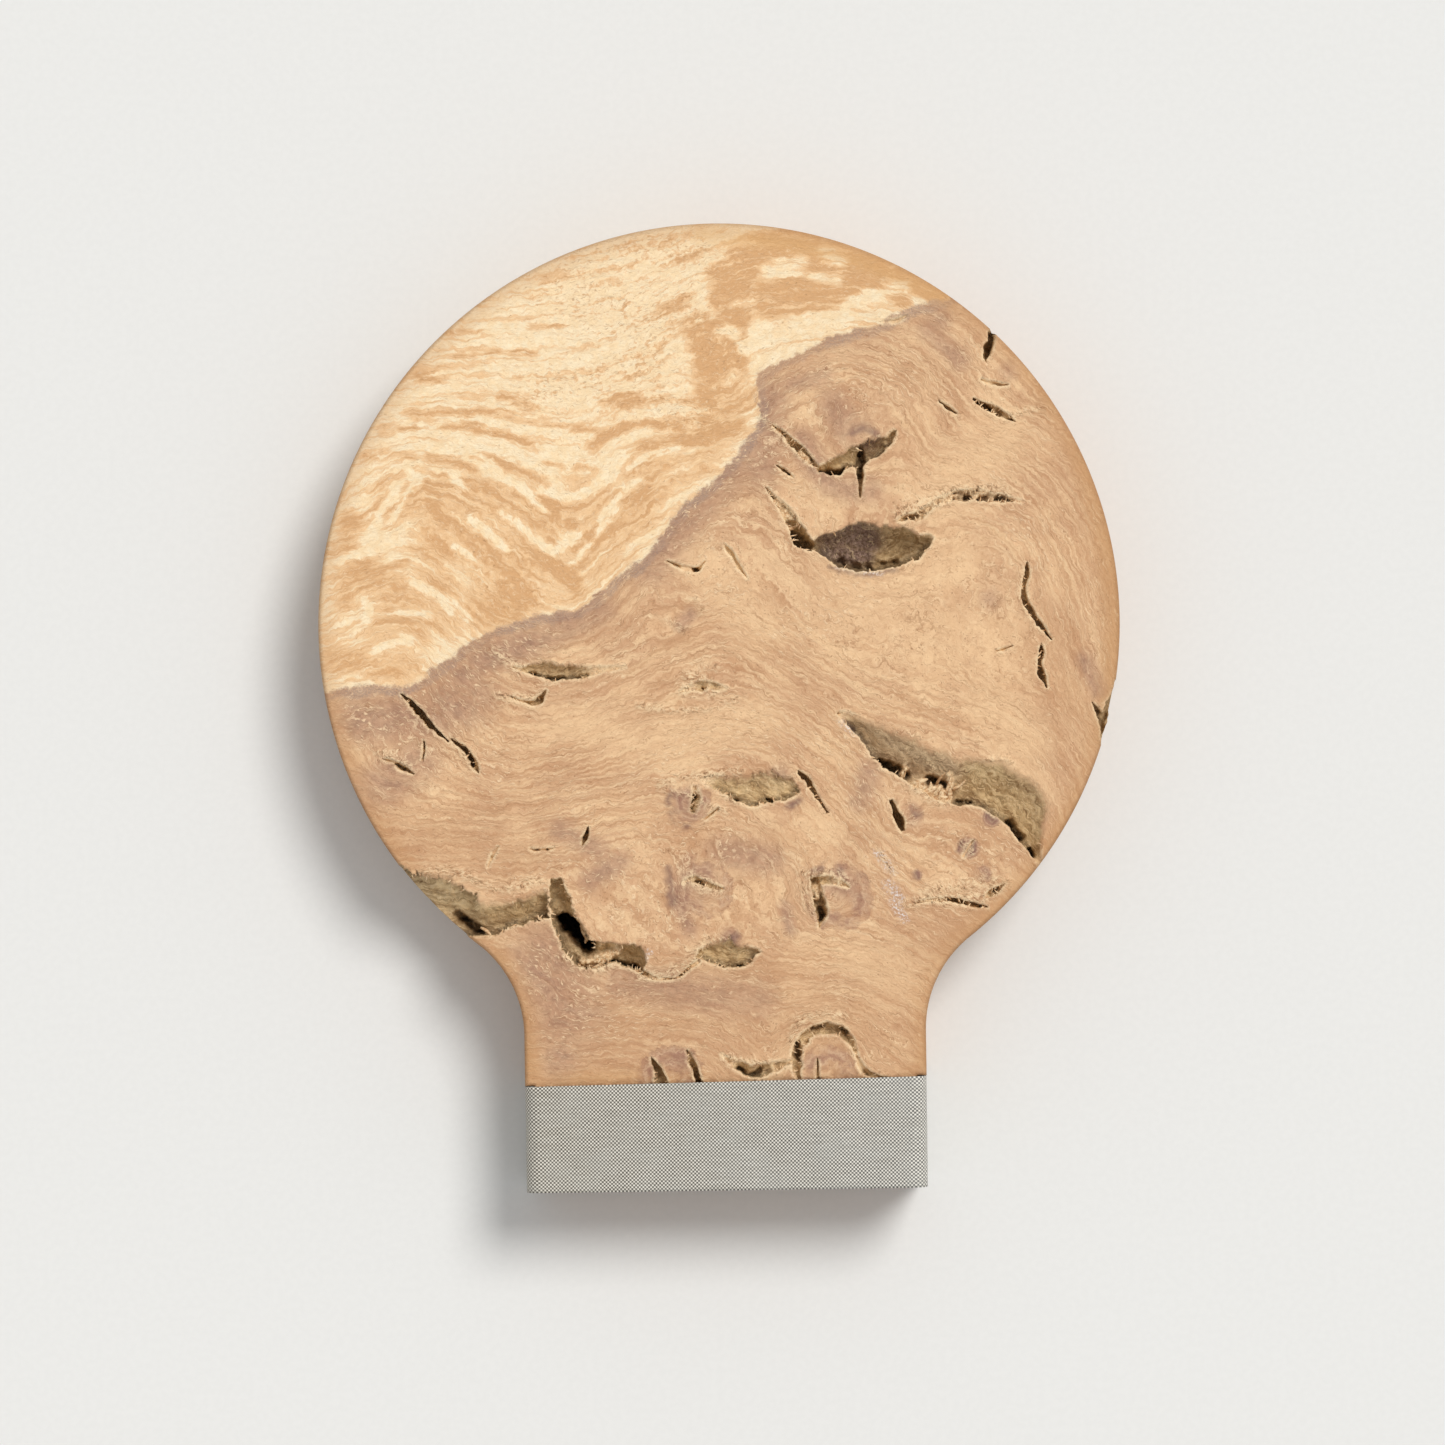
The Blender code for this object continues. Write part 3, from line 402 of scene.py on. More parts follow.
# Lines of the wood's grain, read in the photograph's pixels. Each runs along the grain with the same
# side always on its left, so that together they give the grain one direction everywhere.
GRAIN_LINES = [
    [(335, 520), (365, 500), (385, 478), (405, 455), (440, 462), (470, 455), (500, 470), (540, 485)],
    [(390, 432), (440, 424), (480, 434), (520, 446), (560, 455), (600, 450), (625, 425), (660, 420)],
    [(400, 413), (440, 410), (480, 412), (520, 418), (560, 428), (595, 428), (620, 402), (660, 398), (700, 402)],
    [(420, 380), (480, 372), (540, 378), (600, 372), (650, 350), (700, 330), (740, 322)],
    [(450, 335), (520, 330), (580, 326), (640, 310), (690, 280), (740, 262)],
    [(560, 270), (620, 262), (680, 248), (730, 238), (780, 240), (830, 255), (880, 275), (940, 296)],
    [(700, 300), (760, 288), (820, 292), (870, 285), (910, 290)],
    [(330, 560), (380, 565), (420, 556), (450, 575), (490, 600), (540, 606)],
    [(385, 520), (420, 490), (460, 505), (500, 530), (540, 568), (570, 596)],
    [(500, 515), (520, 525), (540, 540), (560, 560), (575, 562), (590, 550), (605, 520), (630, 490), (660, 470)],
    [(520, 480), (550, 500), (580, 512), (600, 495), (625, 465), (660, 450), (710, 440), (750, 425)],
    [(330, 600), (352, 575), (384, 561), (410, 552), (432, 575), (455, 605), (478, 632)],
    [(330, 640), (362, 622), (400, 608), (425, 618), (446, 640), (460, 655)],
    [(326, 676), (368, 651), (403, 635), (425, 648), (440, 664)],
    [(430, 532), (470, 578), (500, 612), (515, 622)], [(468, 520), (505, 560), (540, 596)],
    [(575, 608), (600, 575), (625, 545), (645, 515)],
    [(600, 588), (640, 548), (680, 505), (720, 470), (750, 440)],
    [(760, 400), (775, 375), (810, 352), (850, 345), (890, 352), (925, 380), (945, 420)],
    [(790, 430), (810, 402), (845, 392), (880, 398), (905, 420), (918, 450)],
    [(700, 500), (730, 480), (765, 490), (800, 530), (830, 575), (880, 590), (930, 575), (960, 540)],
    [(660, 560), (690, 560), (720, 530), (760, 560), (790, 610), (830, 650), (880, 670)],
    [(930, 320), (960, 350), (975, 390), (1000, 420), (1040, 440), (1075, 480), (1095, 540)],
    [(940, 450), (990, 455), (1030, 480), (1060, 530), (1072, 590), (1080, 650), (1082, 700)],
    [(950, 520), (1000, 530), (1030, 560), (1045, 610), (1055, 660), (1062, 700), (1080, 740)],
    [(960, 590), (968, 620), (970, 660), (990, 690), (1030, 705), (1062, 730), (1085, 775)],
    [(880, 690), (940, 690), (1000, 702), (1040, 725), (1068, 760), (1070, 800)],
    [(860, 712), (920, 722), (980, 745), (1030, 760), (1050, 800), (1052, 830)],
    [(560, 640), (600, 648), (640, 635), (670, 600), (690, 590), (720, 600), (740, 640), (790, 680), (830, 705)],
    [(490, 670), (532, 682), (570, 684), (608, 676), (646, 660), (668, 640), (700, 620), (740, 640), (790, 680)],
    [(467, 685), (486, 712), (517, 725), (559, 725), (593, 716), (623, 701), (654, 676), (690, 650), (730, 640)],
    [(448, 712), (475, 752), (505, 768), (543, 763), (578, 746), (616, 723), (654, 706), (690, 688), (740, 680)],
    [(414, 704), (445, 744), (471, 775), (494, 790), (532, 790), (570, 775), (608, 758), (646, 731), (696, 712)],
    [(483, 636), (517, 632), (547, 636), (578, 628), (600, 616), (618, 592), (636, 566), (655, 560), (676, 574),
     (684, 598), (692, 612), (715, 600)],
    [(600, 648), (623, 632), (632, 614), (640, 594), (650, 582), (660, 598), (660, 618), (655, 636), (662, 650),
     (676, 648), (692, 634), (720, 616)],
    [(740, 650), (790, 690), (840, 720), (870, 760)],
    [(696, 712), (730, 700), (780, 708), (830, 738), (870, 780)],
    [(845, 722), (880, 747), (920, 766), (960, 776), (1000, 796), (1030, 836)],
    [(838, 716), (880, 760), (930, 795), (980, 806), (1020, 842)],
    [(340, 700), (380, 698), (410, 712), (440, 745), (465, 780), (500, 792), (550, 778), (610, 765), (680, 735),
     (740, 722), (790, 732), (830, 765), (860, 800), (890, 850)],
    [(345, 720), (375, 725), (410, 750), (440, 785), (500, 812), (560, 796), (620, 785), (660, 762), (720, 745),
     (770, 745), (812, 772), (838, 812), (870, 852)],
    [(350, 760), (390, 790), (440, 808), (500, 822), (560, 818), (610, 800), (640, 790)],
    [(380, 803), (426, 818), (475, 827), (513, 834), (551, 827), (593, 822)],
    [(390, 845), (440, 838), (500, 840), (550, 838), (600, 830), (640, 850), (652, 900), (648, 940)],
    [(420, 868), (470, 862), (520, 868), (560, 866), (592, 890), (612, 925)],
    [(880, 830), (920, 845), (960, 830), (1010, 850), (1030, 870)],
    [(800, 840), (850, 850), (885, 890), (920, 910), (960, 925), (990, 930)],
    [(860, 930), (900, 940), (930, 955), (950, 975)],
    [(750, 840), (780, 870), (775, 910), (790, 945), (840, 955), (900, 985), (920, 1020)],
    [(520, 960), (545, 985), (560, 1015), (600, 1030), (650, 1010), (700, 1012), (740, 1035), (765, 1060)],
    [(500, 940), (540, 950), (570, 985), (610, 1000), (660, 990), (720, 985), (780, 1000), (860, 992),
     (915, 1010)],
    [(540, 1060), (590, 1050), (630, 1035), (680, 1030), (720, 1048), (742, 1080)],
    [(780, 1075), (790, 1030), (825, 1010), (860, 1025), (872, 1060), (900, 1075)],
]
# Eyes: a round bump in the grain at (x, y) px, with its radius in px and how strongly it turns the grain
EYES = [
    (690, 802, 15, 1.6), (702, 884, 18, 1.8), (826, 896, 22, 1.8), (904, 815, 14, 1.4), (968, 848, 11, 1.2),
    (917, 875, 5, 0.9), (983, 873, 8, 0.9), (856, 440, 30, 1.6), (388, 764, 16, 1.4), (780, 775, 13, 1.0),
    (730, 946, 16, 1.0), (664, 1075, 22, 1.2), (825, 1078, 20, 1.4), (585, 835, 12, 0.8), (865, 540, 30, 0.8),
    (700, 600, 9, 0.6), (550, 662, 34, 0.5), (1036, 398, 14, 0.8), (1105, 720, 14, 0.8),
]
# Eyes that show as mauve rings: x, y and radius of the ring in px
RINGED_EYES = [
    (691, 803, 14), (705, 890, 20), (840, 898, 24), (969, 848, 8), (917, 875, 4), (984, 874, 6),
    (992, 818, 7), (731, 938, 8), (828, 1075, 22), (672, 1078, 24),
]
# The line between sapwood, above it, and heartwood, from right to left in px
SAP_LINE = [
    (975, 285), (948, 298), (920, 306), (900, 312), (880, 325), (860, 330), (840, 335), (820, 343), (800, 352),
    (785, 360), (770, 366), (757, 372), (757, 400), (760, 418), (745, 445), (730, 462), (715, 480), (700, 492),
    (683, 505), (670, 522), (660, 540), (640, 562), (620, 575), (600, 591), (590, 602), (575, 610), (560, 613),
    (540, 614), (520, 621), (500, 627), (480, 637), (462, 645), (450, 658), (440, 665), (425, 677), (405, 687),
    (380, 686), (345, 690), (325, 692), (300, 694),
]


PIECES = bpy.data.collections.new("looks")
bpy.context.scene.collection.children.link(PIECES)


def from_px(points):
    """Photograph's pixels to mm in the slab's own straight frame."""
    p = np.asarray(points, dtype=float).reshape(-1, 2) - FOOT_PX
    right = p[:, 0] * math.cos(ROLL) + p[:, 1] * math.sin(ROLL)
    up = p[:, 0] * math.sin(ROLL) - p[:, 1] * math.cos(ROLL)
    return np.stack([right, up], axis=1) * PX_MM


def smooth_step(low, high, x):
    """0 up to low, 1 from high on, and an even curve between them."""
    t = np.clip((x - low) / (high - low), 0.0, 1.0)
    return t * t * (3.0 - 2.0 * t)


def perlin(points, scale, octaves=1, seed=0.0):
    """Noise about -1 to 1 at 2D or 3D points in mm, with features about 1 / scale mm wide."""
    p = np.asarray(points, dtype=float)
    if p.shape[1] == 2:
        p = np.column_stack([p, np.full(len(p), seed)])
    p = p * scale + seed
    if octaves == 1:
        return np.array([noise.noise(Vector(q)) for q in p])
    return np.array([noise.fractal(Vector(q), 0.9, 2.0, octaves) for q in p])


def polyline_distance(points, line, closed=False):
    """Distance from each point to a polyline, and a number that is positive on the line's left."""
    ends = np.roll(line, -1, axis=0) if closed else line[1:]
    starts = line if closed else line[:-1]
    best = np.full(len(points), np.inf)
    side = np.zeros(len(points))
    for a, b in zip(starts, ends):
        run = b - a
        size = max(float(run @ run), 1e-12)
        t = np.clip(((points - a) @ run) / size, 0.0, 1.0)
        away = points - (a + t[:, None] * run)
        d = np.hypot(away[:, 0], away[:, 1])
        nearer = d < best
        best = np.where(nearer, d, best)
        side = np.where(nearer, run[0] * away[:, 1] - run[1] * away[:, 0], side)
    return best, side


def inside_polygon(points, loop):
    """Whether each point lies inside a closed loop, by counting the edges to one side of it."""
    after = np.roll(loop, -1, axis=0)
    x, y = points[:, 0], points[:, 1]
    inside = np.zeros(len(points), dtype=bool)
    for (x0, y0), (x1, y1) in zip(loop, after):
        if y0 == y1:
            continue
        crosses = (y0 > y) != (y1 > y)
        inside ^= crosses & (x < (x1 - x0) * (y - y0) / (y1 - y0) + x0)
    return inside


def resample(line, step):
    """Even points along a polyline, with both ends kept."""
    line = np.asarray(line, dtype=float)
    lengths = np.hypot(*np.diff(line[:, :2], axis=0).T)
    along = np.concatenate([[0.0], np.cumsum(lengths)])
    count = max(2, int(round(along[-1] / step)) + 1)
    wanted = np.linspace(0.0, along[-1], count)
    return np.stack([np.interp(wanted, along, line[:, i]) for i in range(line.shape[1])], axis=1)


def rounded_line(stations, times=2):
    """A polyline with its corners cut off, ends kept."""
    line = np.asarray(stations, dtype=float)
    for _ in range(times):
        near = line[:-1] * 0.75 + line[1:] * 0.25
        far = line[:-1] * 0.25 + line[1:] * 0.75
        middle = np.empty((2 * len(near), line.shape[1]))
        middle[0::2] = near
        middle[1::2] = far
        line = np.vstack([line[:1], middle, line[-1:]])
    return line


def arc(centre, radius, start, end, step):
    steps = max(2, math.ceil(abs(end - start) * radius / step))
    turns = np.linspace(start, end, steps + 1)
    return np.stack([centre[0] + radius * np.cos(turns), centre[1] + radius * np.sin(turns)], axis=1)


def band_top(x):
    """The band's upper edge at this x, which rises a little to the right."""
    share = (x + FOOT_HALF_WIDTH) / (2.0 * FOOT_HALF_WIDTH)
    return BAND_TOP_LEFT + (BAND_TOP_RIGHT - BAND_TOP_LEFT) * share


def inward(outline):
    """At each corner of a counterclockwise outline, the unit vector that points into it."""
    way = np.roll(outline, -1, axis=0) - np.roll(outline, 1, axis=0)
    way /= np.hypot(way[:, 0], way[:, 1])[:, None]
    return np.stack([-way[:, 1], way[:, 0]], axis=1)


def slab_outline():
    """Counterclockwise outline with the foot's step, in mm."""
    neck_x = FOOT_HALF_WIDTH + NECK_RADIUS
    neck_y = GLOBE_CENTRE_Y - math.sqrt((GLOBE_RADIUS + NECK_RADIUS) ** 2 - neck_x**2)
    meeting = math.atan2(neck_y - GLOBE_CENTRE_Y, neck_x)
    globe = arc((0.0, GLOBE_CENTRE_Y), GLOBE_RADIUS, meeting, math.pi - meeting, EDGE_STEP)
    right_neck = arc((neck_x, neck_y), NECK_RADIUS, math.pi, math.pi + meeting, EDGE_STEP)
    left_neck = right_neck[::-1] * (-1.0, 1.0)
    narrow = FOOT_HALF_WIDTH - FOOT_INSET
    right_shoulder = band_top(FOOT_HALF_WIDTH) + SHOULDER_GAP
    left_shoulder = band_top(-FOOT_HALF_WIDTH) + SHOULDER_GAP
    lines = [
        [(-narrow, 0.0), (narrow, 0.0)],
        [(narrow, 0.0), (narrow, right_shoulder)],
        [(narrow, right_shoulder), (FOOT_HALF_WIDTH, right_shoulder)],
        [(FOOT_HALF_WIDTH, right_shoulder), tuple(right_neck[0])],
    ]
    down = [
        [tuple(left_neck[-1]), (-FOOT_HALF_WIDTH, left_shoulder)],
        [(-FOOT_HALF_WIDTH, left_shoulder), (-narrow, left_shoulder)],
        [(-narrow, left_shoulder), (-narrow, 0.0)],
    ]
    pieces = [resample(line, EDGE_STEP) for line in lines] + [right_neck, globe, left_neck]
    pieces += [resample(line, EDGE_STEP) for line in down]
    return np.vstack([piece[:-1] for piece in pieces])


class Crack:
    """One crack's smooth run, its ragged rims and its depth at any point."""

    def __init__(self, name, depth, stations, seed):
        run = resample(rounded_line(stations), RIM_STEP)
        self.middle = run[:, :2]
        self.soft, self.steep = np.maximum(run[:, 2:4], LEAST_REACH).T
        way = np.gradient(self.middle, axis=0)
        way /= np.maximum(np.hypot(way[:, 0], way[:, 1]), 1e-9)[:, None]
        self.side = np.stack([-way[:, 1], way[:, 0]], axis=1)
        if name in SLOPES_NORTH:
            self.side = np.tile((0.0, 1.0), (len(run), 1))
        width = self.soft + self.steep
        self.depth = VISUAL_DEPTH.get(name, depth) * np.sqrt(width / width.max())
        # Narrow cracks are bridged by wood here and there
        narrow = (1.0 - smooth_step(0.8, 1.8, width)) * (name not in WHOLE)
        bridges = smooth_step(-0.45, 0.35, perlin(self.middle, 0.7, 2, seed + 21.0))
        self.depth *= 1.0 - narrow * 0.7 * (1.0 - bridges)
        # Both rims are ragged, except close to the crack's ends
        ragged = perlin(self.middle, 0.9, 3, seed) * 0.34 + perlin(self.middle, 2.6, 2, seed + 9.0) * 0.14
        torn = perlin(self.middle, 1.1, 3, seed + 5.0) * 0.34 + perlin(self.middle, 3.0, 2, seed + 3.0) * 0.16
        tail = smooth_step(0.0, 0.6, np.minimum(np.arange(len(run)), np.arange(len(run))[::-1]) * RIM_STEP)
        self.soft = np.maximum(self.soft + ragged * tail * np.minimum(self.soft, 1.0), 0.04)
        self.steep = np.maximum(self.steep + torn * tail * np.minimum(self.steep + 0.25, 0.7), 0.04)
        self.soft_rim = self.middle + self.side * self.soft[:, None]
        self.steep_rim = self.middle - self.side * self.steep[:, None]
        self.wall_foot = self.middle - self.side * np.maximum(self.steep - WALL_INSET, 0.0)[:, None]
        self.soft_foot = self.middle + self.side * np.maximum(self.soft - SOFT_INSET, 0.0)[:, None]
        self.has_soft_foot = self.soft.max() < 0.75
        self.loop = np.vstack([self.steep_rim, self.soft_rim[::-1]])
        self.low = self.loop.min(axis=0)
        self.high = self.loop.max(axis=0)
        self.seed = seed
        self.name = name

    def near(self, points, margin):
        return np.all((points > self.low - margin) & (points < self.high + margin), axis=1)

    def lateral(self, points):
        """For each point: index of the nearest place on the run, and the offset to its left in mm."""
        index = np.empty(len(points), dtype=int)
        for start in range(0, len(points), CHUNK):
            part = points[start : start + CHUNK]
            d = ((part[:, None, :] - self.middle[None, :, :]) ** 2).sum(axis=2)
            index[start : start + CHUNK] = d.argmin(axis=1)
        away = points - self.middle[index]
        return index, (away * self.side[index]).sum(axis=1)


def make_cracks():
    cracks = enumerate(CRACKS.items())
    return [Crack(name, depth, stations, SEED_STEP * i) for i, (name, (depth, stations)) in cracks]


def wall_depths(crack, points, index, offset):
    """Depth below the face at points inside one crack, with the roughness of its walls."""
    soft, steep = crack.soft[index], crack.steep[index]
    share = np.clip(np.where(offset >= 0.0, offset / soft, -offset / steep), 0.0, 1.0)
    if crack.name in ROUND_RIGHT_OF:
        roundness = 0.6 * smooth_step(0.0, 4.0, crack.middle[index, 0] - ROUND_RIGHT_OF[crack.name])
    else:
        roundness = float(crack.name in ROUND_WALLS)
    gentle = (1.0 - share) ** (1.5 - ROUNDING * roundness) * (1.0 + 0.8 * share)
    wide = smooth_step(0.6, 1.6, soft)
    slope = gentle * wide + (1.0 - share**6.0) * (1.0 - wide)
    here = crack.depth[index] * np.where(offset >= 0.0, slope, 1.0 - share**9.0)
    bent = offset + 0.5 * perlin(points, 0.8, 2, crack.seed + 4.0)
    strata = perlin(np.column_stack([bent * 1.9, index * RIM_STEP * 0.4]), 1.0, 3, crack.seed)
    coarse = perlin(points, 0.9, 3, crack.seed + 6.0)
    fine = perlin(points, 2.8, 3, crack.seed + 2.0)
    broad = smooth_step(0.8, 3.0, soft + steep)
    rough = WALL_ROUGHNESS.get(crack.name, 1.0) * smooth_step(0.0, 0.6, here)
    return here + ((strata * 0.16 + coarse * 0.34 + fine * 0.16) * broad + fine * 0.03) * rough


def open_holes(points, ragged, depth):
    """Deepens the pockets at their dark holes, in place."""
    uneven = 1.0 + 0.25 * perlin(points, 1.7, 2, 31.0)
    for width, line, bottom in HOLES:
        mask = brush(ragged, [(width, line)], 0.45) * (depth > 0.3)
        depth += mask * np.maximum(bottom * uneven - depth, 0.0)


def raise_plugs(points, ragged, depth, inside):
    """Raises the pockets' floors where torn wood stands in them, in place. Gives the share of such wood."""
    plug = np.zeros(len(points))
    for width, line, top in PLUGS:
        mask = brush(ragged, [(width, line)], 0.6)
        near = np.flatnonzero(mask > 0.0)
        chunks = top + 0.45 * perlin(points[near], 1.6, 3, 41.0) + 0.25 * perlin(points[near], 4.5, 1, 43.0)
        lifted = np.minimum(depth[near], np.maximum(chunks, 0.05))
        share = mask[near] * inside[near]
        depth[near] += share * (lifted - depth[near])
        plug[near] = np.maximum(plug[near], share)
    return plug


def crack_depths(points, cracks):
    """At each point: depth below the face, distance to the nearest rim (positive outside the cracks), share of
    standing torn wood, distance inside a gentle rim, and the shade at the foot of a steep rim."""
    depth, inner, gentle_side, shade = np.zeros((4, len(points)))
    rim = np.full(len(points), RIM_REACH)
    for crack in cracks:
        close = np.flatnonzero(crack.near(points, RIM_REACH))
        if not len(close):
            continue
        away, _ = polyline_distance(points[close], crack.loop[::2], closed=True)
        inside = inside_polygon(points[close], crack.loop)
        outside = close[~inside]
        index, offset = crack.lateral(points[outside])
        soft_side = smooth_step(0.8, 2.2, crack.soft[index]) * (offset > 0.0)
        rim[outside] = np.minimum(rim[outside], away[~inside] + 0.5 * soft_side)
        close, away = close[inside], away[inside]
        if not len(close):
            continue
        inner[close] = np.maximum(inner[close], away)
        index, offset = crack.lateral(points[close])
        soft, steep = crack.soft[index], crack.steep[index]
        here = wall_depths(crack, points[close], index, offset)
        depth[close] = np.maximum(depth[close], np.maximum(here, 0.02))
        gentle_side[close] = np.maximum(gentle_side[close], smooth_step(0.8, 2.2, soft) * (offset > 0.0))
        below = 1.0 - smooth_step(0.15, 0.9, steep + offset)
        below = below * smooth_step(0.5, 1.2, soft) * smooth_step(0.3, 1.0, here)
        shade[close] = np.maximum(shade[close], below)
    in_any = inner > 0.0
    rim[in_any] = -inner[in_any] + 6.0 * gentle_side[in_any]
    ragged = points + 0.28 * np.column_stack([perlin(points, 1.5, 3, 61.0), perlin(points, 1.5, 3, 67.0)])
    open_holes(points, ragged, depth)
    plug = raise_plugs(points, ragged, depth, in_any)
    return depth, rim, plug, inner * gentle_side, shade


def scatter(low, high, step, rng):
    """Points on a hexagonal grid, each moved a little."""
    rows = np.arange(low[1], high[1], step * math.sqrt(0.75))
    columns = np.arange(low[0], high[0], step)
    x, y = np.meshgrid(columns, rows)
    x = x + (np.arange(len(rows)) % 2)[:, None] * step / 2.0
    points = np.stack([x.ravel(), y.ravel()], axis=1)
    return points + rng.uniform(-0.22, 0.22, points.shape) * step


def thin_out(points, taken, step):
    """Leaves out points that share a cell of this step, or a neighbouring one, with a point already taken."""
    most_cells = 4096

    def key(p, dx=0, dy=0):
        cell = np.floor(p / step).astype(np.int64) + (dx + most_cells, dy + most_cells)
        return cell[:, 0] * (4 * most_cells) + cell[:, 1]

    full = np.unique(key(taken))
    keep = np.ones(len(points), dtype=bool)
    for dx in (-1, 0, 1):
        for dy in (-1, 0, 1):
            keep &= ~np.isin(key(points, dx, dy), full)
    return points[keep]


def triangulate(points, edges, outline):
    """Points and triangles inside the outline, whose corners are the first points, with these edges kept."""
    corners = list(range(len(outline)))
    found = geometry.delaunay_2d_cdt([Vector(p) for p in points], edges, [corners], 1, 1e-5, True)
    points = np.array([tuple(v) for v in found[0]])
    triangles = np.array([tuple(f) for f in found[2] if len(f) == 3])
    return points, triangles[inside_polygon(points[triangles].mean(axis=1), outline)]


def loop_edges(outline):
    return [(i, (i + 1) % len(outline)) for i in range(len(outline))]


def near_cracks(points, cracks, margin):
    """Whether each point lies in a crack or within this margin of its rims."""
    near = np.zeros(len(points), dtype=bool)
    for crack in cracks:
        box = np.flatnonzero(crack.near(points, margin) & ~near)
        if not len(box):
            continue
        index, offset = crack.lateral(points[box])
        away = points[box] - crack.middle[index]
        limit = np.where(offset > 0.0, crack.soft[index], crack.steep[index]) + margin
        near[box] = np.hypot(away[:, 0], away[:, 1]) < limit
    return near


def face_mesh(outline, cracks, rng):
    """Flat triangles of the front face: fine along the cracks, and with the cracks' rims as edges."""
    lines = [outline]
    edges = loop_edges(outline)
    count = len(outline)
    for crack in cracks:
        own_lines = [crack.soft_rim, crack.steep_rim, crack.wall_foot]
        if crack.has_soft_foot:
            own_lines.append(crack.soft_foot)
        for line in own_lines:
            distance, _ = polyline_distance(line, outline, closed=True)
            ok = np.flatnonzero(inside_polygon(line, outline) & (distance > EDGE_GAP))
            if len(ok) < 2:
                continue
            place = {int(old): count + new for new, old in enumerate(ok)}
            edges += [(place[i], place[i + 1]) for i in place if i + 1 in place]
            lines.append(line[ok])
            count += len(ok)
    taken = np.vstack(lines)
    rings = np.vstack([outline + inward(outline) * inset for inset in RIM_INSETS])
    taken = np.vstack([taken, thin_out(rings, taken[len(outline) :], RING_SPACING)])
    low, high = outline.min(axis=0), outline.max(axis=0)
    for step, margin in ((FINE_STEP, FINE_MARGIN), (MIDDLE_STEP, MIDDLE_MARGIN), (COARSE_STEP, None)):
        points = scatter(low, high, step, rng)
        if margin is not None:
            points = points[near_cracks(points, cracks, margin)]
        distance, _ = polyline_distance(points, outline, closed=True)
        points = points[inside_polygon(points, outline) & (distance > RIM_ROUND + step * 0.35)]
        taken = np.vstack([taken, thin_out(points, taken, step * 0.5)])
    return triangulate(taken, edges, outline)


def back_mesh(outline, rng):
    points = scatter(outline.min(axis=0), outline.max(axis=0), BACK_STEP, rng)
    distance, _ = polyline_distance(points, outline, closed=True)
    points = points[inside_polygon(points, outline) & (distance > BACK_MARGIN)]
    ring = outline + inward(outline) * RIM_ROUND
    return triangulate(np.vstack([outline, ring, points]), loop_edges(outline), outline)


def match(outline, points):
    """Index in points of each outline corner."""
    return np.array([int(((points - corner) ** 2).sum(axis=1).argmin()) for corner in outline])


def rim_drop(distance):
    """How far a rounded rim lies below its face at this distance from the edge."""
    t = np.clip(1.0 - distance / RIM_ROUND, 0.0, 1.0)
    return RIM_ROUND * (1.0 - np.sqrt(np.maximum(1.0 - t * t, 0.0)))


def in_foot(points):
    """Whether each point lies in the set-in foot, below the shoulder."""
    return points[:, 1] < band_top(points[:, 0]) + SHOULDER_GAP - 0.02


def grain_field():
    """The grain as one smooth height over a grid, whose contour lines are the grain's lines."""
    low = np.array(GRID_LOW)
    shape = (int(GRID_SIZE[0] / GRID_STEP), int(GRID_SIZE[1] / GRID_STEP))
    xs = low[0] + np.arange(shape[0]) * GRID_STEP
    ys = low[1] + np.arange(shape[1]) * GRID_STEP
    x, y = np.meshgrid(xs, ys, indexing="ij")
    across = np.zeros(shape + (2,))
    total = np.zeros(shape)
    for line in GRAIN_LINES:
        points = resample(rounded_line(from_px(line)), 1.0)
        way = np.gradient(points, axis=0)
        way /= np.hypot(way[:, 0], way[:, 1])[:, None]
        for (px, py), (wx, wy) in zip(points, way):
            weight = 1.0 / ((x - px) ** 2 + (y - py) ** 2 + 0.6) ** 1.7
            across[..., 0] += weight * -wy
            across[..., 1] += weight * wx
            total += weight
    across /= total[..., None]
    size = np.hypot(across[..., 0], across[..., 1])
    across /= np.maximum(size, 0.35)[..., None]
    # The height whose slope comes nearest to the wanted one, by a mirrored Fourier solution in each round
    fx = 2.0 * np.pi * np.fft.fftfreq(2 * shape[0], GRID_STEP)
    fy = 2.0 * np.pi * np.fft.fftfreq(2 * shape[1], GRID_STEP)
    square = fx[:, None] ** 2 + fy[None, :] ** 2
    square[0, 0] = 1.0
    wanted = across
    for _ in range(GRAIN_ROUNDS):
        spread = np.gradient(wanted[..., 0], GRID_STEP, axis=0)
        spread = spread + np.gradient(wanted[..., 1], GRID_STEP, axis=1)
        spread[0, :] += wanted[0, :, 0] / GRID_STEP
        spread[-1, :] -= wanted[-1, :, 0] / GRID_STEP
        spread[:, 0] += wanted[:, 0, 1] / GRID_STEP
        spread[:, -1] -= wanted[:, -1, 1] / GRID_STEP
        mirrored = np.block([[spread, spread[:, ::-1]], [spread[::-1], spread[::-1, ::-1]]])
        wave = -np.fft.fft2(mirrored) / square
        wave[0, 0] = 0.0
        height = np.real(np.fft.ifft2(wave))[: shape[0], : shape[1]]
        slope_x, slope_y = np.gradient(height, GRID_STEP)
        steepness = np.clip(slope_x * across[..., 0] + slope_y * across[..., 1], 0.45, 1.7)
        wanted = across * steepness[..., None]
    for px, py, radius, strength in EYES:
        (ex, ey), = from_px([(px, py)])
        r = radius * PX_MM
        height += strength * r * np.exp(-((x - ex) ** 2 + (y - ey) ** 2) / (2.0 * (r * 0.8) ** 2))
    return low, height


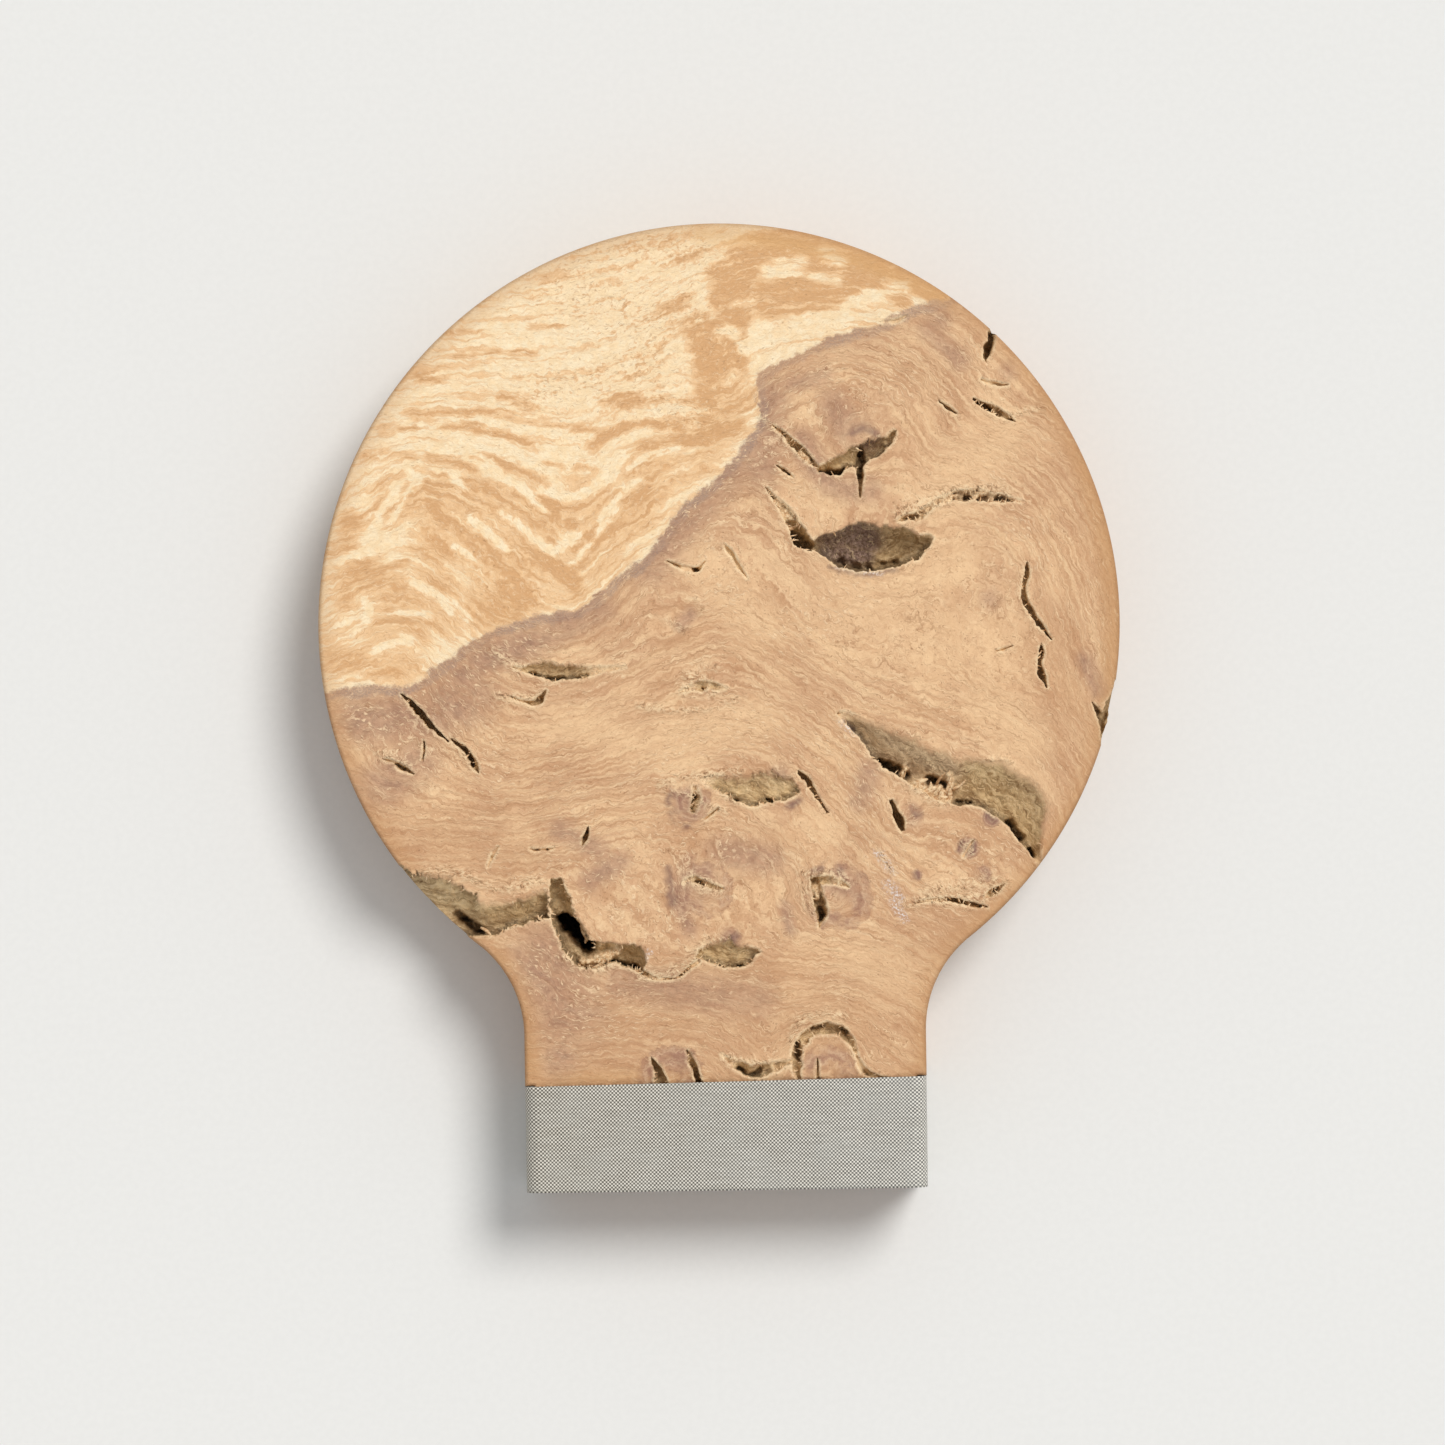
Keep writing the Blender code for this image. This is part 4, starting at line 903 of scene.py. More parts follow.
def sample_grid(low, height, points):
    """Smooth reading of a grid at points in mm."""
    p = (points - low) / GRID_STEP
    p = np.clip(p, 1.0, np.array(height.shape) - 2.001)
    cell = np.floor(p).astype(int)
    t = p - cell
    t = t * t * (3.0 - 2.0 * t) * 0.5 + t * 0.5
    i, j = cell[:, 0], cell[:, 1]
    a = height[i, j] * (1 - t[:, 0]) + height[i + 1, j] * t[:, 0]
    b = height[i, j + 1] * (1 - t[:, 0]) + height[i + 1, j + 1] * t[:, 0]
    return a * (1 - t[:, 1]) + b * t[:, 1]


def brush(points, strokes, solid_share):
    """Coverage from 0 to 1 of strokes given as (width px, [points px])."""
    covered = np.zeros(len(points))
    for width, line in strokes:
        radius = width * PX_MM / 2.0
        path = from_px(line)
        low, high = path.min(axis=0) - radius * 2, path.max(axis=0) + radius * 2
        near = np.flatnonzero(np.all((points > low) & (points < high), axis=1))
        if not len(near):
            continue
        if len(path) == 1:
            distance = np.hypot(*(points[near] - path[0]).T)
        else:
            distance, _ = polyline_distance(points[near], rounded_line(path))
        here = 1.0 - smooth_step(radius * solid_share, radius * 1.5, distance)
        covered[near] = np.maximum(covered[near], here)
    return covered


# Strokes of colour read, for each of the shader's values: the solid share of a stroke's width, then the
# strokes, each as width px and points px
STROKES = {
    "brown": (0.1, [
        (150, [(560, 1040), (660, 1060), (760, 1060), (880, 1050)]),
        (70, [(1075, 420), (1108, 520), (1124, 620)]), (70, [(640, 985), (760, 980)]),
        (40, [(700, 850), (780, 850)]), (80, [(1080, 720), (1050, 640)]), (60, [(920, 950), (980, 910)]),
        (60, [(380, 830), (450, 850), (520, 860)]), (60, [(480, 640), (420, 700)]),
        (60, [(980, 840), (1040, 850)]), (80, [(545, 950), (578, 1008)]), (60, [(545, 955), (572, 1000)]),
    ]),
    "caramel": (0.2, [
        (8, [(406, 412), (442, 414), (480, 411), (512, 419), (544, 425), (596, 430)]),
        (7, [(414, 420), (434, 421)]), (8, [(461, 417), (480, 427)]), (6, [(381, 431), (416, 428)]),
        (6, [(440, 426), (470, 429), (499, 434)]), (9, [(500, 434), (533, 447)]),
        (5, [(448, 332), (480, 332)]), (6, [(456, 355), (496, 351)]), (6, [(416, 378), (442, 381)]),
        (5, [(512, 352), (538, 353)]), (9, [(502, 396), (520, 402), (538, 408)]),
        (14, [(606, 402), (622, 395), (642, 402)]), (16, [(594, 448), (606, 434), (624, 430)]),
        (7, [(366, 459), (385, 452), (416, 457)]), (8, [(426, 457), (450, 458), (474, 468)]),
        (9, [(474, 454), (510, 464), (546, 482)]), (6, [(546, 463), (563, 466)]),
        (7, [(574, 466), (594, 468)]), (6, [(528, 327), (563, 326)]),
        (10, [(620, 404), (660, 398), (712, 402)]), (12, [(700, 330), (735, 318), (745, 335)]),
        (34, [(700, 330), (715, 352), (706, 384)]), (14, [(664, 310), (692, 296)]),
        (16, [(722, 340), (742, 362)]), (8, [(640, 360), (660, 350)]),
        (9, [(598, 434), (640, 422), (680, 428)]), (10, [(640, 448), (690, 440), (740, 425)]),
        (9, [(494, 463), (520, 469), (540, 482)]), (10, [(541, 497), (556, 508)]),
        (9, [(570, 524), (592, 536)]), (18, [(552, 562), (575, 585)]), (8, [(432, 506), (446, 520)]),
        (8, [(520, 586), (534, 600)]), (9, [(352, 572), (384, 569), (408, 560)]),
        (8, [(470, 548), (496, 580), (522, 606)]),
    ]),
    "dense": (0.1, [
        (60, [(395, 500), (440, 490), (500, 505)]), (70, [(440, 530), (500, 550), (560, 585)]),
        (50, [(350, 560), (380, 590), (440, 600)]), (60, [(540, 520), (600, 500)]),
        (60, [(590, 560), (640, 500)]), (60, [(640, 470), (690, 450), (740, 400)]),
        (50, [(380, 640), (440, 620), (520, 605)]), (50, [(345, 660), (400, 665)]),
        (26, [(350, 520), (345, 600)]), (34, [(700, 350), (740, 380)]),
    ]),
    "caramel_area": (0.4, [
        (44, [(745, 262), (780, 250), (830, 254), (870, 266)]), (34, [(724, 276), (738, 292)]),
        (44, [(770, 298), (800, 292), (850, 282)]), (20, [(900, 275), (940, 295)]),
        (18, [(716, 300), (745, 318)]), (18, [(876, 282), (905, 300)]),
    ]),
    "cream": (0.2, [
        (6, [(500, 512), (520, 524), (540, 542), (558, 562), (572, 564), (584, 552), (598, 532), (618, 508)]),
        (8, [(368, 545), (380, 512), (398, 486)]), (7, [(392, 520), (404, 494), (420, 480)]),
        (7, [(440, 452), (470, 449), (488, 458), (499, 475)]), (7, [(509, 480), (526, 492), (544, 512)]),
        (9, [(596, 484), (612, 472), (624, 458)]), (6, [(405, 468), (420, 478)]),
        (7, [(452, 474), (462, 488)]), (8, [(540, 492), (570, 500), (590, 490)]),
        (8, [(420, 588), (450, 600), (470, 620)]), (8, [(372, 652), (390, 642), (412, 640)]),
        (6, [(400, 612), (430, 616)]), (8, [(412, 583), (438, 594), (452, 612)]),
        (6, [(362, 600), (372, 606), (366, 622)]), (7, [(340, 560), (352, 556), (372, 552)]),
        (22, [(770, 270), (800, 262)]), (16, [(824, 250), (842, 262)]), (12, [(814, 276), (838, 280)]),
        (10, [(560, 548), (580, 530)]), (12, [(850, 302), (880, 292), (905, 286)]),
        (16, [(748, 345), (760, 330)]), (14, [(800, 332), (845, 314)]),
        (8, [(470, 520), (490, 532), (505, 548)]), (6, [(455, 545), (480, 562), (500, 580)]),
        (7, [(630, 468), (650, 452), (680, 446)]), (7, [(600, 520), (620, 494), (640, 480)]),
    ]),
    "mauve": (0.1, [
        (20, [(790, 385), (825, 375)]), (40, [(850, 430), (834, 405)]), (46, [(770, 400), (760, 470)]),
        (50, [(730, 470), (690, 510), (650, 560)]), (30, [(800, 440), (830, 490), (870, 490)]),
        (34, [(600, 605), (540, 640), (480, 660), (450, 690)]), (60, [(360, 720), (420, 720), (470, 700)]),
        (50, [(370, 790), (420, 760)]), (26, [(940, 320), (930, 330)]), (22, [(1010, 370)]),
        (24, [(940, 340), (960, 360)]), (24, [(560, 830), (600, 850)]), (26, [(590, 880), (620, 860)]),
        (80, [(545, 955), (575, 1000), (565, 1015)]), (70, [(540, 970), (560, 1005)]), (26, [(640, 990)]),
        (30, [(680, 1065)]), (40, [(560, 1060)]), (18, [(690, 860), (672, 890), (690, 930)]),
        (14, [(785, 905), (790, 930)]), (20, [(730, 938)]), (26, [(870, 770), (860, 800)]),
        (20, [(1085, 660), (1100, 690)]), (24, [(780, 775)]), (14, [(790, 805)]), (34, [(845, 885)]),
        (22, [(912, 816)]), (20, [(968, 848)]), (9, [(917, 875)]), (16, [(983, 873)]), (30, [(690, 803)]),
        (34, [(702, 884)]), (16, [(680, 625), (690, 615)]), (24, [(990, 600)]),
        (36, [(720, 850), (770, 860)]), (40, [(620, 985), (760, 1000)]), (20, [(990, 818)]),
    ]),
    "dark_mauve": (0.3, [
        (5, [(830, 567), (850, 572), (870, 575), (895, 569)]), (8, [(917, 875)]),
        (8, [(913, 806), (918, 816)]), (9, [(852, 432), (864, 426), (876, 434)]),
        (5, [(672, 785), (667, 803), (676, 822), (690, 828)]), (7, [(812, 872), (822, 868)]),
        (8, [(840, 870)]), (5, [(961, 842), (959, 852)]), (5, [(974, 843), (973, 853)]), (7, [(982, 872)]),
        (8, [(988, 815), (994, 820)]), (7, [(790, 806), (800, 800)]), (7, [(668, 868), (671, 905)]),
        (9, [(735, 936), (728, 944)]),
    ]),
    "lilac": (0.2, [
        (6, [(876, 852), (886, 864), (892, 872)]), (9, [(888, 884), (900, 898)]),
        (9, [(894, 902), (902, 915)]), (6, [(905, 920)]), (4, [(838, 566), (880, 574)]),
        (5, [(645, 960), (650, 952)]), (6, [(842, 722), (856, 734)]),
    ]),
    "pale": (0.1, [
        (120, [(850, 610), (930, 640), (990, 640)]), (70, [(900, 590), (960, 560)]),
        (60, [(940, 500), (1000, 440)]), (50, [(860, 960), (900, 970)]), (60, [(1030, 740), (980, 700)]),
        (40, [(560, 720), (640, 740)]), (60, [(700, 560), (760, 620)]), (50, [(660, 740), (760, 720)]),
        (40, [(1000, 760), (1040, 790)]),
    ]),
    # Darker, warmer strokes along the slab's edge: partly the wood's warmer tone, partly painted shadow along
    # the edge
    "warm_tone_and_rim_shadow": (0.1, [
        (40, [(1085, 440), (1105, 500), (1117, 560), (1122, 620)]),
        (20, [(980, 300), (1030, 360), (1060, 410)]),
        (20, [(700, 236), (780, 240), (850, 255), (910, 280), (950, 300)]), (24, [(1114, 640), (1108, 740)]),
        (24, [(1085, 800), (1045, 870), (985, 930), (940, 990), (930, 1060)]),
        (18, [(560, 1078), (700, 1078)]), (20, [(500, 960), (520, 1010), (530, 1070)]),
    ]),
    "fleck": (0.1, [
        (60, [(560, 800), (600, 850), (620, 940)]), (70, [(840, 740), (870, 800), (890, 860)]),
        (70, [(430, 690), (480, 680), (520, 650)]), (60, [(740, 720), (800, 740)]),
        (50, [(690, 540), (730, 600)]), (60, [(740, 440), (700, 500)]), (60, [(760, 420), (800, 520)]),
        (50, [(860, 590), (780, 640)]), (50, [(640, 830), (720, 840)]), (60, [(470, 730), (500, 780)]),
        (40, [(700, 740), (640, 780)]), (60, [(360, 720), (440, 760)]), (60, [(530, 960), (600, 1000)]),
        (60, [(900, 380), (790, 400)]), (50, [(900, 900), (900, 850)]), (60, [(640, 900), (680, 920)]),
        (70, [(540, 880), (620, 870)]), (50, [(560, 1040), (640, 1020)]), (50, [(940, 840), (1000, 850)]),
        (50, [(990, 480), (1040, 560)]),
    ]),
    "speckle": (0.1, [
        (110, [(580, 290), (640, 320), (640, 370)]), (60, [(600, 250), (700, 250)]),
        (50, [(690, 300), (730, 360)]), (60, [(540, 390), (600, 380)]), (50, [(660, 400), (700, 420)]),
    ]),
    "purple_wall": (0.4, [
        (32, [(830, 534), (850, 532), (868, 538)]), (20, [(828, 552), (866, 556)]),
        (8, [(842, 720), (852, 730)]), (30, [(848, 424), (868, 436)]),
    ]),
    "ochre_wall": (0.4, [
        (30, [(904, 545), (922, 545)]), (46, [(945, 762), (985, 778), (1008, 802), (1022, 830)]),
        (36, [(420, 885), (470, 905), (520, 905)]), (26, [(548, 885), (566, 910)]),
        (24, [(600, 945), (632, 952)]), (30, [(650, 785), (790, 800)]), (24, [(700, 955), (740, 955)]),
        (30, [(884, 560), (905, 556), (922, 545)]), (16, [(790, 535), (812, 540)]),
        (20, [(830, 460), (850, 455)]),
    ]),
    "grey_wall": (0.4, [
        (40, [(862, 740), (905, 760), (945, 770)]), (20, [(915, 505), (960, 490), (1000, 494)]),
        (14, [(1010, 395), (1030, 410)]),
    ]),
}


def colour_fields(points):
    """Named values between 0 and 1, or in mm, that the wood's shader reads at each point."""
    line = from_px(SAP_LINE)
    distance, side = polyline_distance(points, line)
    sap = np.where(side < 0.0, distance, -distance)
    eye = np.full(len(points), 3.0)
    for px, py, radius in RINGED_EYES:
        centre = from_px([(px, py)])[0]
        eye = np.minimum(eye, np.hypot(*(points - centre).T) / (radius * PX_MM))
    fields = {"sapwood": sap, "eye": eye}
    for name, (solid_share, strokes) in STROKES.items():
        fields[name] = brush(points, strokes, solid_share)
    return fields


def shard(foot, tip, width, rng, curl=0.12):
    """A closed, tapered and slightly bent sliver from foot to tip, as points and triangles."""
    foot, tip = np.asarray(foot, dtype=float), np.asarray(tip, dtype=float)
    run = tip - foot
    size = max(float(np.linalg.norm(run)), 1e-6)
    way = run / size
    side = np.cross(way, (0.0, 0.0, 1.0))
    side /= max(float(np.linalg.norm(side)), 1e-6)
    lift = np.cross(side, way)
    bend = rng.uniform(-curl, curl, 2) * size
    points = []
    for share, girth in SHARD_PROFILE:
        arch = math.sin(math.pi * share)
        middle = foot + run * share + side * bend[0] * arch + lift * abs(bend[1]) * arch * 0.6
        for corner in range(SHARD_SIDES):
            turn = 2.0 * math.pi * corner / SHARD_SIDES
            reach = width * girth * rng.uniform(0.75, 1.2) / 2.0
            aside = side * math.cos(turn) * reach
            points.append(middle + aside + lift * math.sin(turn) * reach * SHARD_FLATNESS)
    n = SHARD_SIDES
    faces = [(0, i + 1, i) for i in range(1, n - 1)]
    last = (len(SHARD_PROFILE) - 1) * n
    faces += [(last, last + i, last + i + 1) for i in range(1, n - 1)]
    for ring in range(len(SHARD_PROFILE) - 1):
        for i in range(n):
            a, b = ring * n + i, ring * n + (i + 1) % n
            faces += [(a, b, b + n), (a, b + n, a + n)]
    return np.array(points), np.array(faces)


def all_shards(cracks, outline):
    """Every splinter and torn fibre, with its own random draws."""
    rng = np.random.default_rng(29)
    made = []
    for x0, y0, depth0, x1, y1, depth1, width in SPLINTERS:
        foot, tip = from_px([(x0, y0), (x1, y1)])
        made.append(shard((*foot, THICKNESS - depth0), (*tip, THICKNESS - depth1), width * PX_MM, rng))
    for crack in cracks:
        for _ in range(FIBRES.get(crack.name, 0)):
            i = int(rng.integers(2, len(crack.middle) - 2))
            over, back = crack.steep_rim, crack.soft_rim
            if rng.random() >= 0.62:
                over, back = back, over
            inward = back[i] - over[i]
            span = max(float(np.hypot(*inward)), 1e-6)
            inward /= span
            along = np.array([-inward[1], inward[0]])
            reach = min(rng.uniform(0.15, 0.65), span * 0.8 + 0.1)
            turn = rng.uniform(-1.1, 1.1)
            start = over[i] - inward * rng.uniform(0.04, 0.16)
            end = start + (inward * math.cos(turn) + along * math.sin(turn)) * (reach + 0.1)
            drop = rng.uniform(0.15, 0.9) * min(float(crack.depth[i]), 1.1)
            width = rng.uniform(0.09, 0.20)
            foot = (*start, THICKNESS - width * 0.5 - 0.01)
            made.append(shard(foot, (*end, THICKNESS - drop - width * 0.5), width, rng))
    flat = np.vstack([points[:, :2] for points, _ in made])
    distance, _ = polyline_distance(flat, outline, closed=True)
    clear = (inside_polygon(flat, outline) & (distance > SHARD_CLEAR)).reshape(len(made), -1).all(axis=1)
    return [one for one, ok in zip(made, clear) if ok]


def add_attribute(mesh, name, values):
    layer = mesh.attributes.new(name, "FLOAT", "POINT")
    layer.data.foreach_set("value", np.asarray(values, dtype=np.float32))


def wound(points, faces, upward):
    """The triangles with their corners in the order that makes all of them face up, or all of them down."""
    a, b, c = (points[faces[:, i]] for i in range(3))
    turn = (b[:, 0] - a[:, 0]) * (c[:, 1] - a[:, 1]) - (b[:, 1] - a[:, 1]) * (c[:, 0] - a[:, 0])
    wrong = turn < 0.0 if upward else turn > 0.0
    return np.where(wrong[:, None], faces[:, ::-1], faces)


def sides(outline, top, back):
    """Points between the two faces' rims, and the triangles that join them all round."""
    count = len(outline)
    top_rim, back_rim = match(outline, top[:, :2]), match(outline, back[:, :2])
    points = []
    rings = [top_rim]
    for ring in range(1, SIDE_RINGS):
        share = ring / SIDE_RINGS
        heights = top[top_rim, 2] * (1.0 - share) + back[back_rim, 2] * share
        points.append(np.column_stack([outline, heights]))
        rings.append(len(top) + len(back) + (ring - 1) * count + np.arange(count))
    rings.append(len(top) + back_rim)
    after = (np.arange(count) + 1) % count
    faces = []
    for near, far in zip(rings, rings[1:]):
        faces.append(np.column_stack([near, far, far[after]]))
        faces.append(np.column_stack([near, far[after], near[after]]))
    return np.vstack(points), np.vstack(faces)


def make_slab():
    rng = np.random.default_rng(11)
    outline = slab_outline()
    cracks = make_cracks()
    top, top_faces = face_mesh(outline, cracks, rng)
    depth, rim, plug, inner, shade = crack_depths(top, cracks)
    edge, _ = polyline_distance(top, outline, closed=True)
    surface = np.where(in_foot(top), THICKNESS + BAND_PROUD - FOOT_INSET, THICKNESS)
    torn = brush(top, TORN_STROKES, 0.2)
    frayed = np.exp(-np.maximum(rim, 0.0) / 0.35) * (rim > 0.0) * smooth_step(0.3, 0.8, edge)
    frayed = np.maximum(frayed * 0.09, torn * 0.20)
    relief = perlin(top, 2.4, 3, 57.0) * frayed
    z = surface - np.maximum(depth, rim_drop(edge)) + np.minimum(relief, 0.0) * (depth < 0.03)
    top3 = np.column_stack([top, z])
    back, back_faces = back_mesh(outline, rng)
    back_edge, _ = polyline_distance(back, outline, closed=True)
    back3 = np.column_stack([back, np.where(in_foot(back), FOOT_INSET, 0.0) + rim_drop(back_edge)])
    side_points, side_faces = sides(outline, top3, back3)
    vertices = [top3, back3, side_points]
    faces = [wound(top, top_faces, True), wound(back, back_faces, False) + len(top3), side_faces]
    solid = count = sum(map(len, vertices))
    for points, triangles in all_shards(cracks, outline):
        points[:, 2] = np.minimum(points[:, 2], THICKNESS - SHARD_SUNK)
        vertices.append(points)
        faces.append(triangles + count)
        count += len(points)
    vertices, faces = np.vstack(vertices), np.vstack(faces)

    # The values that the shader reads: on the face, on the rest of the solid, and on the loose slivers
    rest, loose = solid - len(top3), count - solid
    low, height = grain_field()
    lean = vertices[:, :2] + (THICKNESS - vertices[:, 2])[:, None] * np.array(GRAIN_LEAN)
    lean[: len(top3)] = top
    fields = colour_fields(lean)
    fields["grain"] = sample_grid(low, height, lean)
    for name, values, on_rest, on_loose in (
        ("depth", depth, 0.0, 0.0), ("rim", rim, RIM_REACH, RIM_REACH), ("plug", plug, 0.0, 1.0),
        ("inner", inner, 0.0, 0.0), ("shade", shade, 0.0, 0.0), ("torn", torn, 0.0, 0.0),
        ("edge", edge, 0.2, 3.0),
    ):
        fields[name] = np.concatenate([values, np.full(rest, on_rest), np.full(loose, on_loose)])

    vertices[:, 1] -= LENGTH / 2.0
    mesh = bpy.data.meshes.new("burl_wood_mesh")
    mesh.vertices.add(len(vertices))
    mesh.vertices.foreach_set("co", (vertices * MM).ravel())
    mesh.loops.add(len(faces) * 3)
    mesh.loops.foreach_set("vertex_index", faces.ravel().astype(np.int32))
    mesh.polygons.add(len(faces))
    mesh.polygons.foreach_set("loop_start", np.arange(0, len(faces) * 3, 3, dtype=np.int32))
    mesh.update(calc_edges=True)
    mesh.validate()
    for name, values in fields.items():
        add_attribute(mesh, name, values)
    mesh.materials.append(wood_material())
    obj = bpy.data.objects.new("burl_wood", mesh)
    PIECES.objects.link(obj)
    return obj


class Graph:
    """Short names for building a node material."""

    def __init__(self, name):
        self.material = bpy.data.materials.new(name)
        self.material.use_nodes = True
        self.tree = self.material.node_tree
        self.shader = self.tree.nodes["Principled BSDF"]

    def put(self, value, socket):
        """Links another node's output to a socket, or sets the socket to a number or colour."""
        if isinstance(value, bpy.types.NodeSocket):
            self.tree.links.new(value, socket)
        else:
            socket.default_value = value

    def node(self, kind, inputs=None, **settings):
        made = self.tree.nodes.new(kind)
        for key, value in settings.items():
            setattr(made, key, value)
        for key, value in (inputs or {}).items():
            self.put(value, made.inputs[key])
        return made

    def attribute(self, name):
        return self.node("ShaderNodeAttribute", attribute_name=name).outputs["Fac"]

    def math(self, operation, *values):
        made = self.node("ShaderNodeMath", operation=operation)
        for socket, value in zip(made.inputs, values):
            self.put(value, socket)
        return made.outputs[0]

    def times(self, a, b):
        return self.math("MULTIPLY", a, b)

    def plus(self, a, b):
        return self.math("ADD", a, b)

    def minus(self, a, b):
        return self.math("SUBTRACT", a, b)

    def times_plus(self, a, b, c):
        return self.math("MULTIPLY_ADD", a, b, c)

    def larger(self, a, b):
        return self.math("MAXIMUM", a, b)

    def painted(self, name, amount):
        """A share of the strokes with this name."""
        return self.times(self.attribute(name), amount)

    def span(self, value, low, high, to_low=0.0, to_high=1.0, smooth=True):
        """A value carried over from one range to another, and held at its ends."""
        kind = "SMOOTHSTEP" if smooth else "LINEAR"
        inputs = {"Value": value, "From Min": low, "From Max": high, "To Min": to_low, "To Max": to_high}
        return self.node("ShaderNodeMapRange", inputs, interpolation_type=kind).outputs[0]

    def lift(self, value, low, high, amount):
        return self.span(value, low, high, 0.0, amount)

    def mix(self, share, a, b):
        return self.node("ShaderNodeMix", {0: share, 6: a, 7: b}, data_type="RGBA").outputs[2]

    def coats(self, base, *layers):
        """A colour with further colours laid over it, each given as its share and its r, g and b."""
        for share, *colour in layers:
            base = self.mix(share, base, srgb(*colour))
        return base

    def vector(self, x, y, z):
        return self.node("ShaderNodeCombineXYZ", {0: x, 1: y, 2: z}).outputs[0]

    def noise(self, vector, scale, detail=2.0, roughness=0.5, distortion=0.0):
        inputs = {"Vector": vector, "Scale": scale, "Detail": detail, "Roughness": roughness,
                  "Distortion": distortion}
        return self.node("ShaderNodeTexNoise", inputs).outputs["Fac"]

    def place(self):
        """Object coordinates in mm."""
        where = self.node("ShaderNodeTexCoord").outputs["Object"]
        return self.node("ShaderNodeVectorMath", {0: where, "Scale": 1.0 / MM}, operation="SCALE").outputs[0]


def srgb(*colour):
    """A colour read from the photograph, as r, g and b from 0 to 255, in linear light."""
    shares = [c / 255.0 for c in colour]
    return tuple(c / 12.92 if c <= 0.04045 else ((c + 0.055) / 1.055) ** 2.4 for c in shares) + (1.0,)


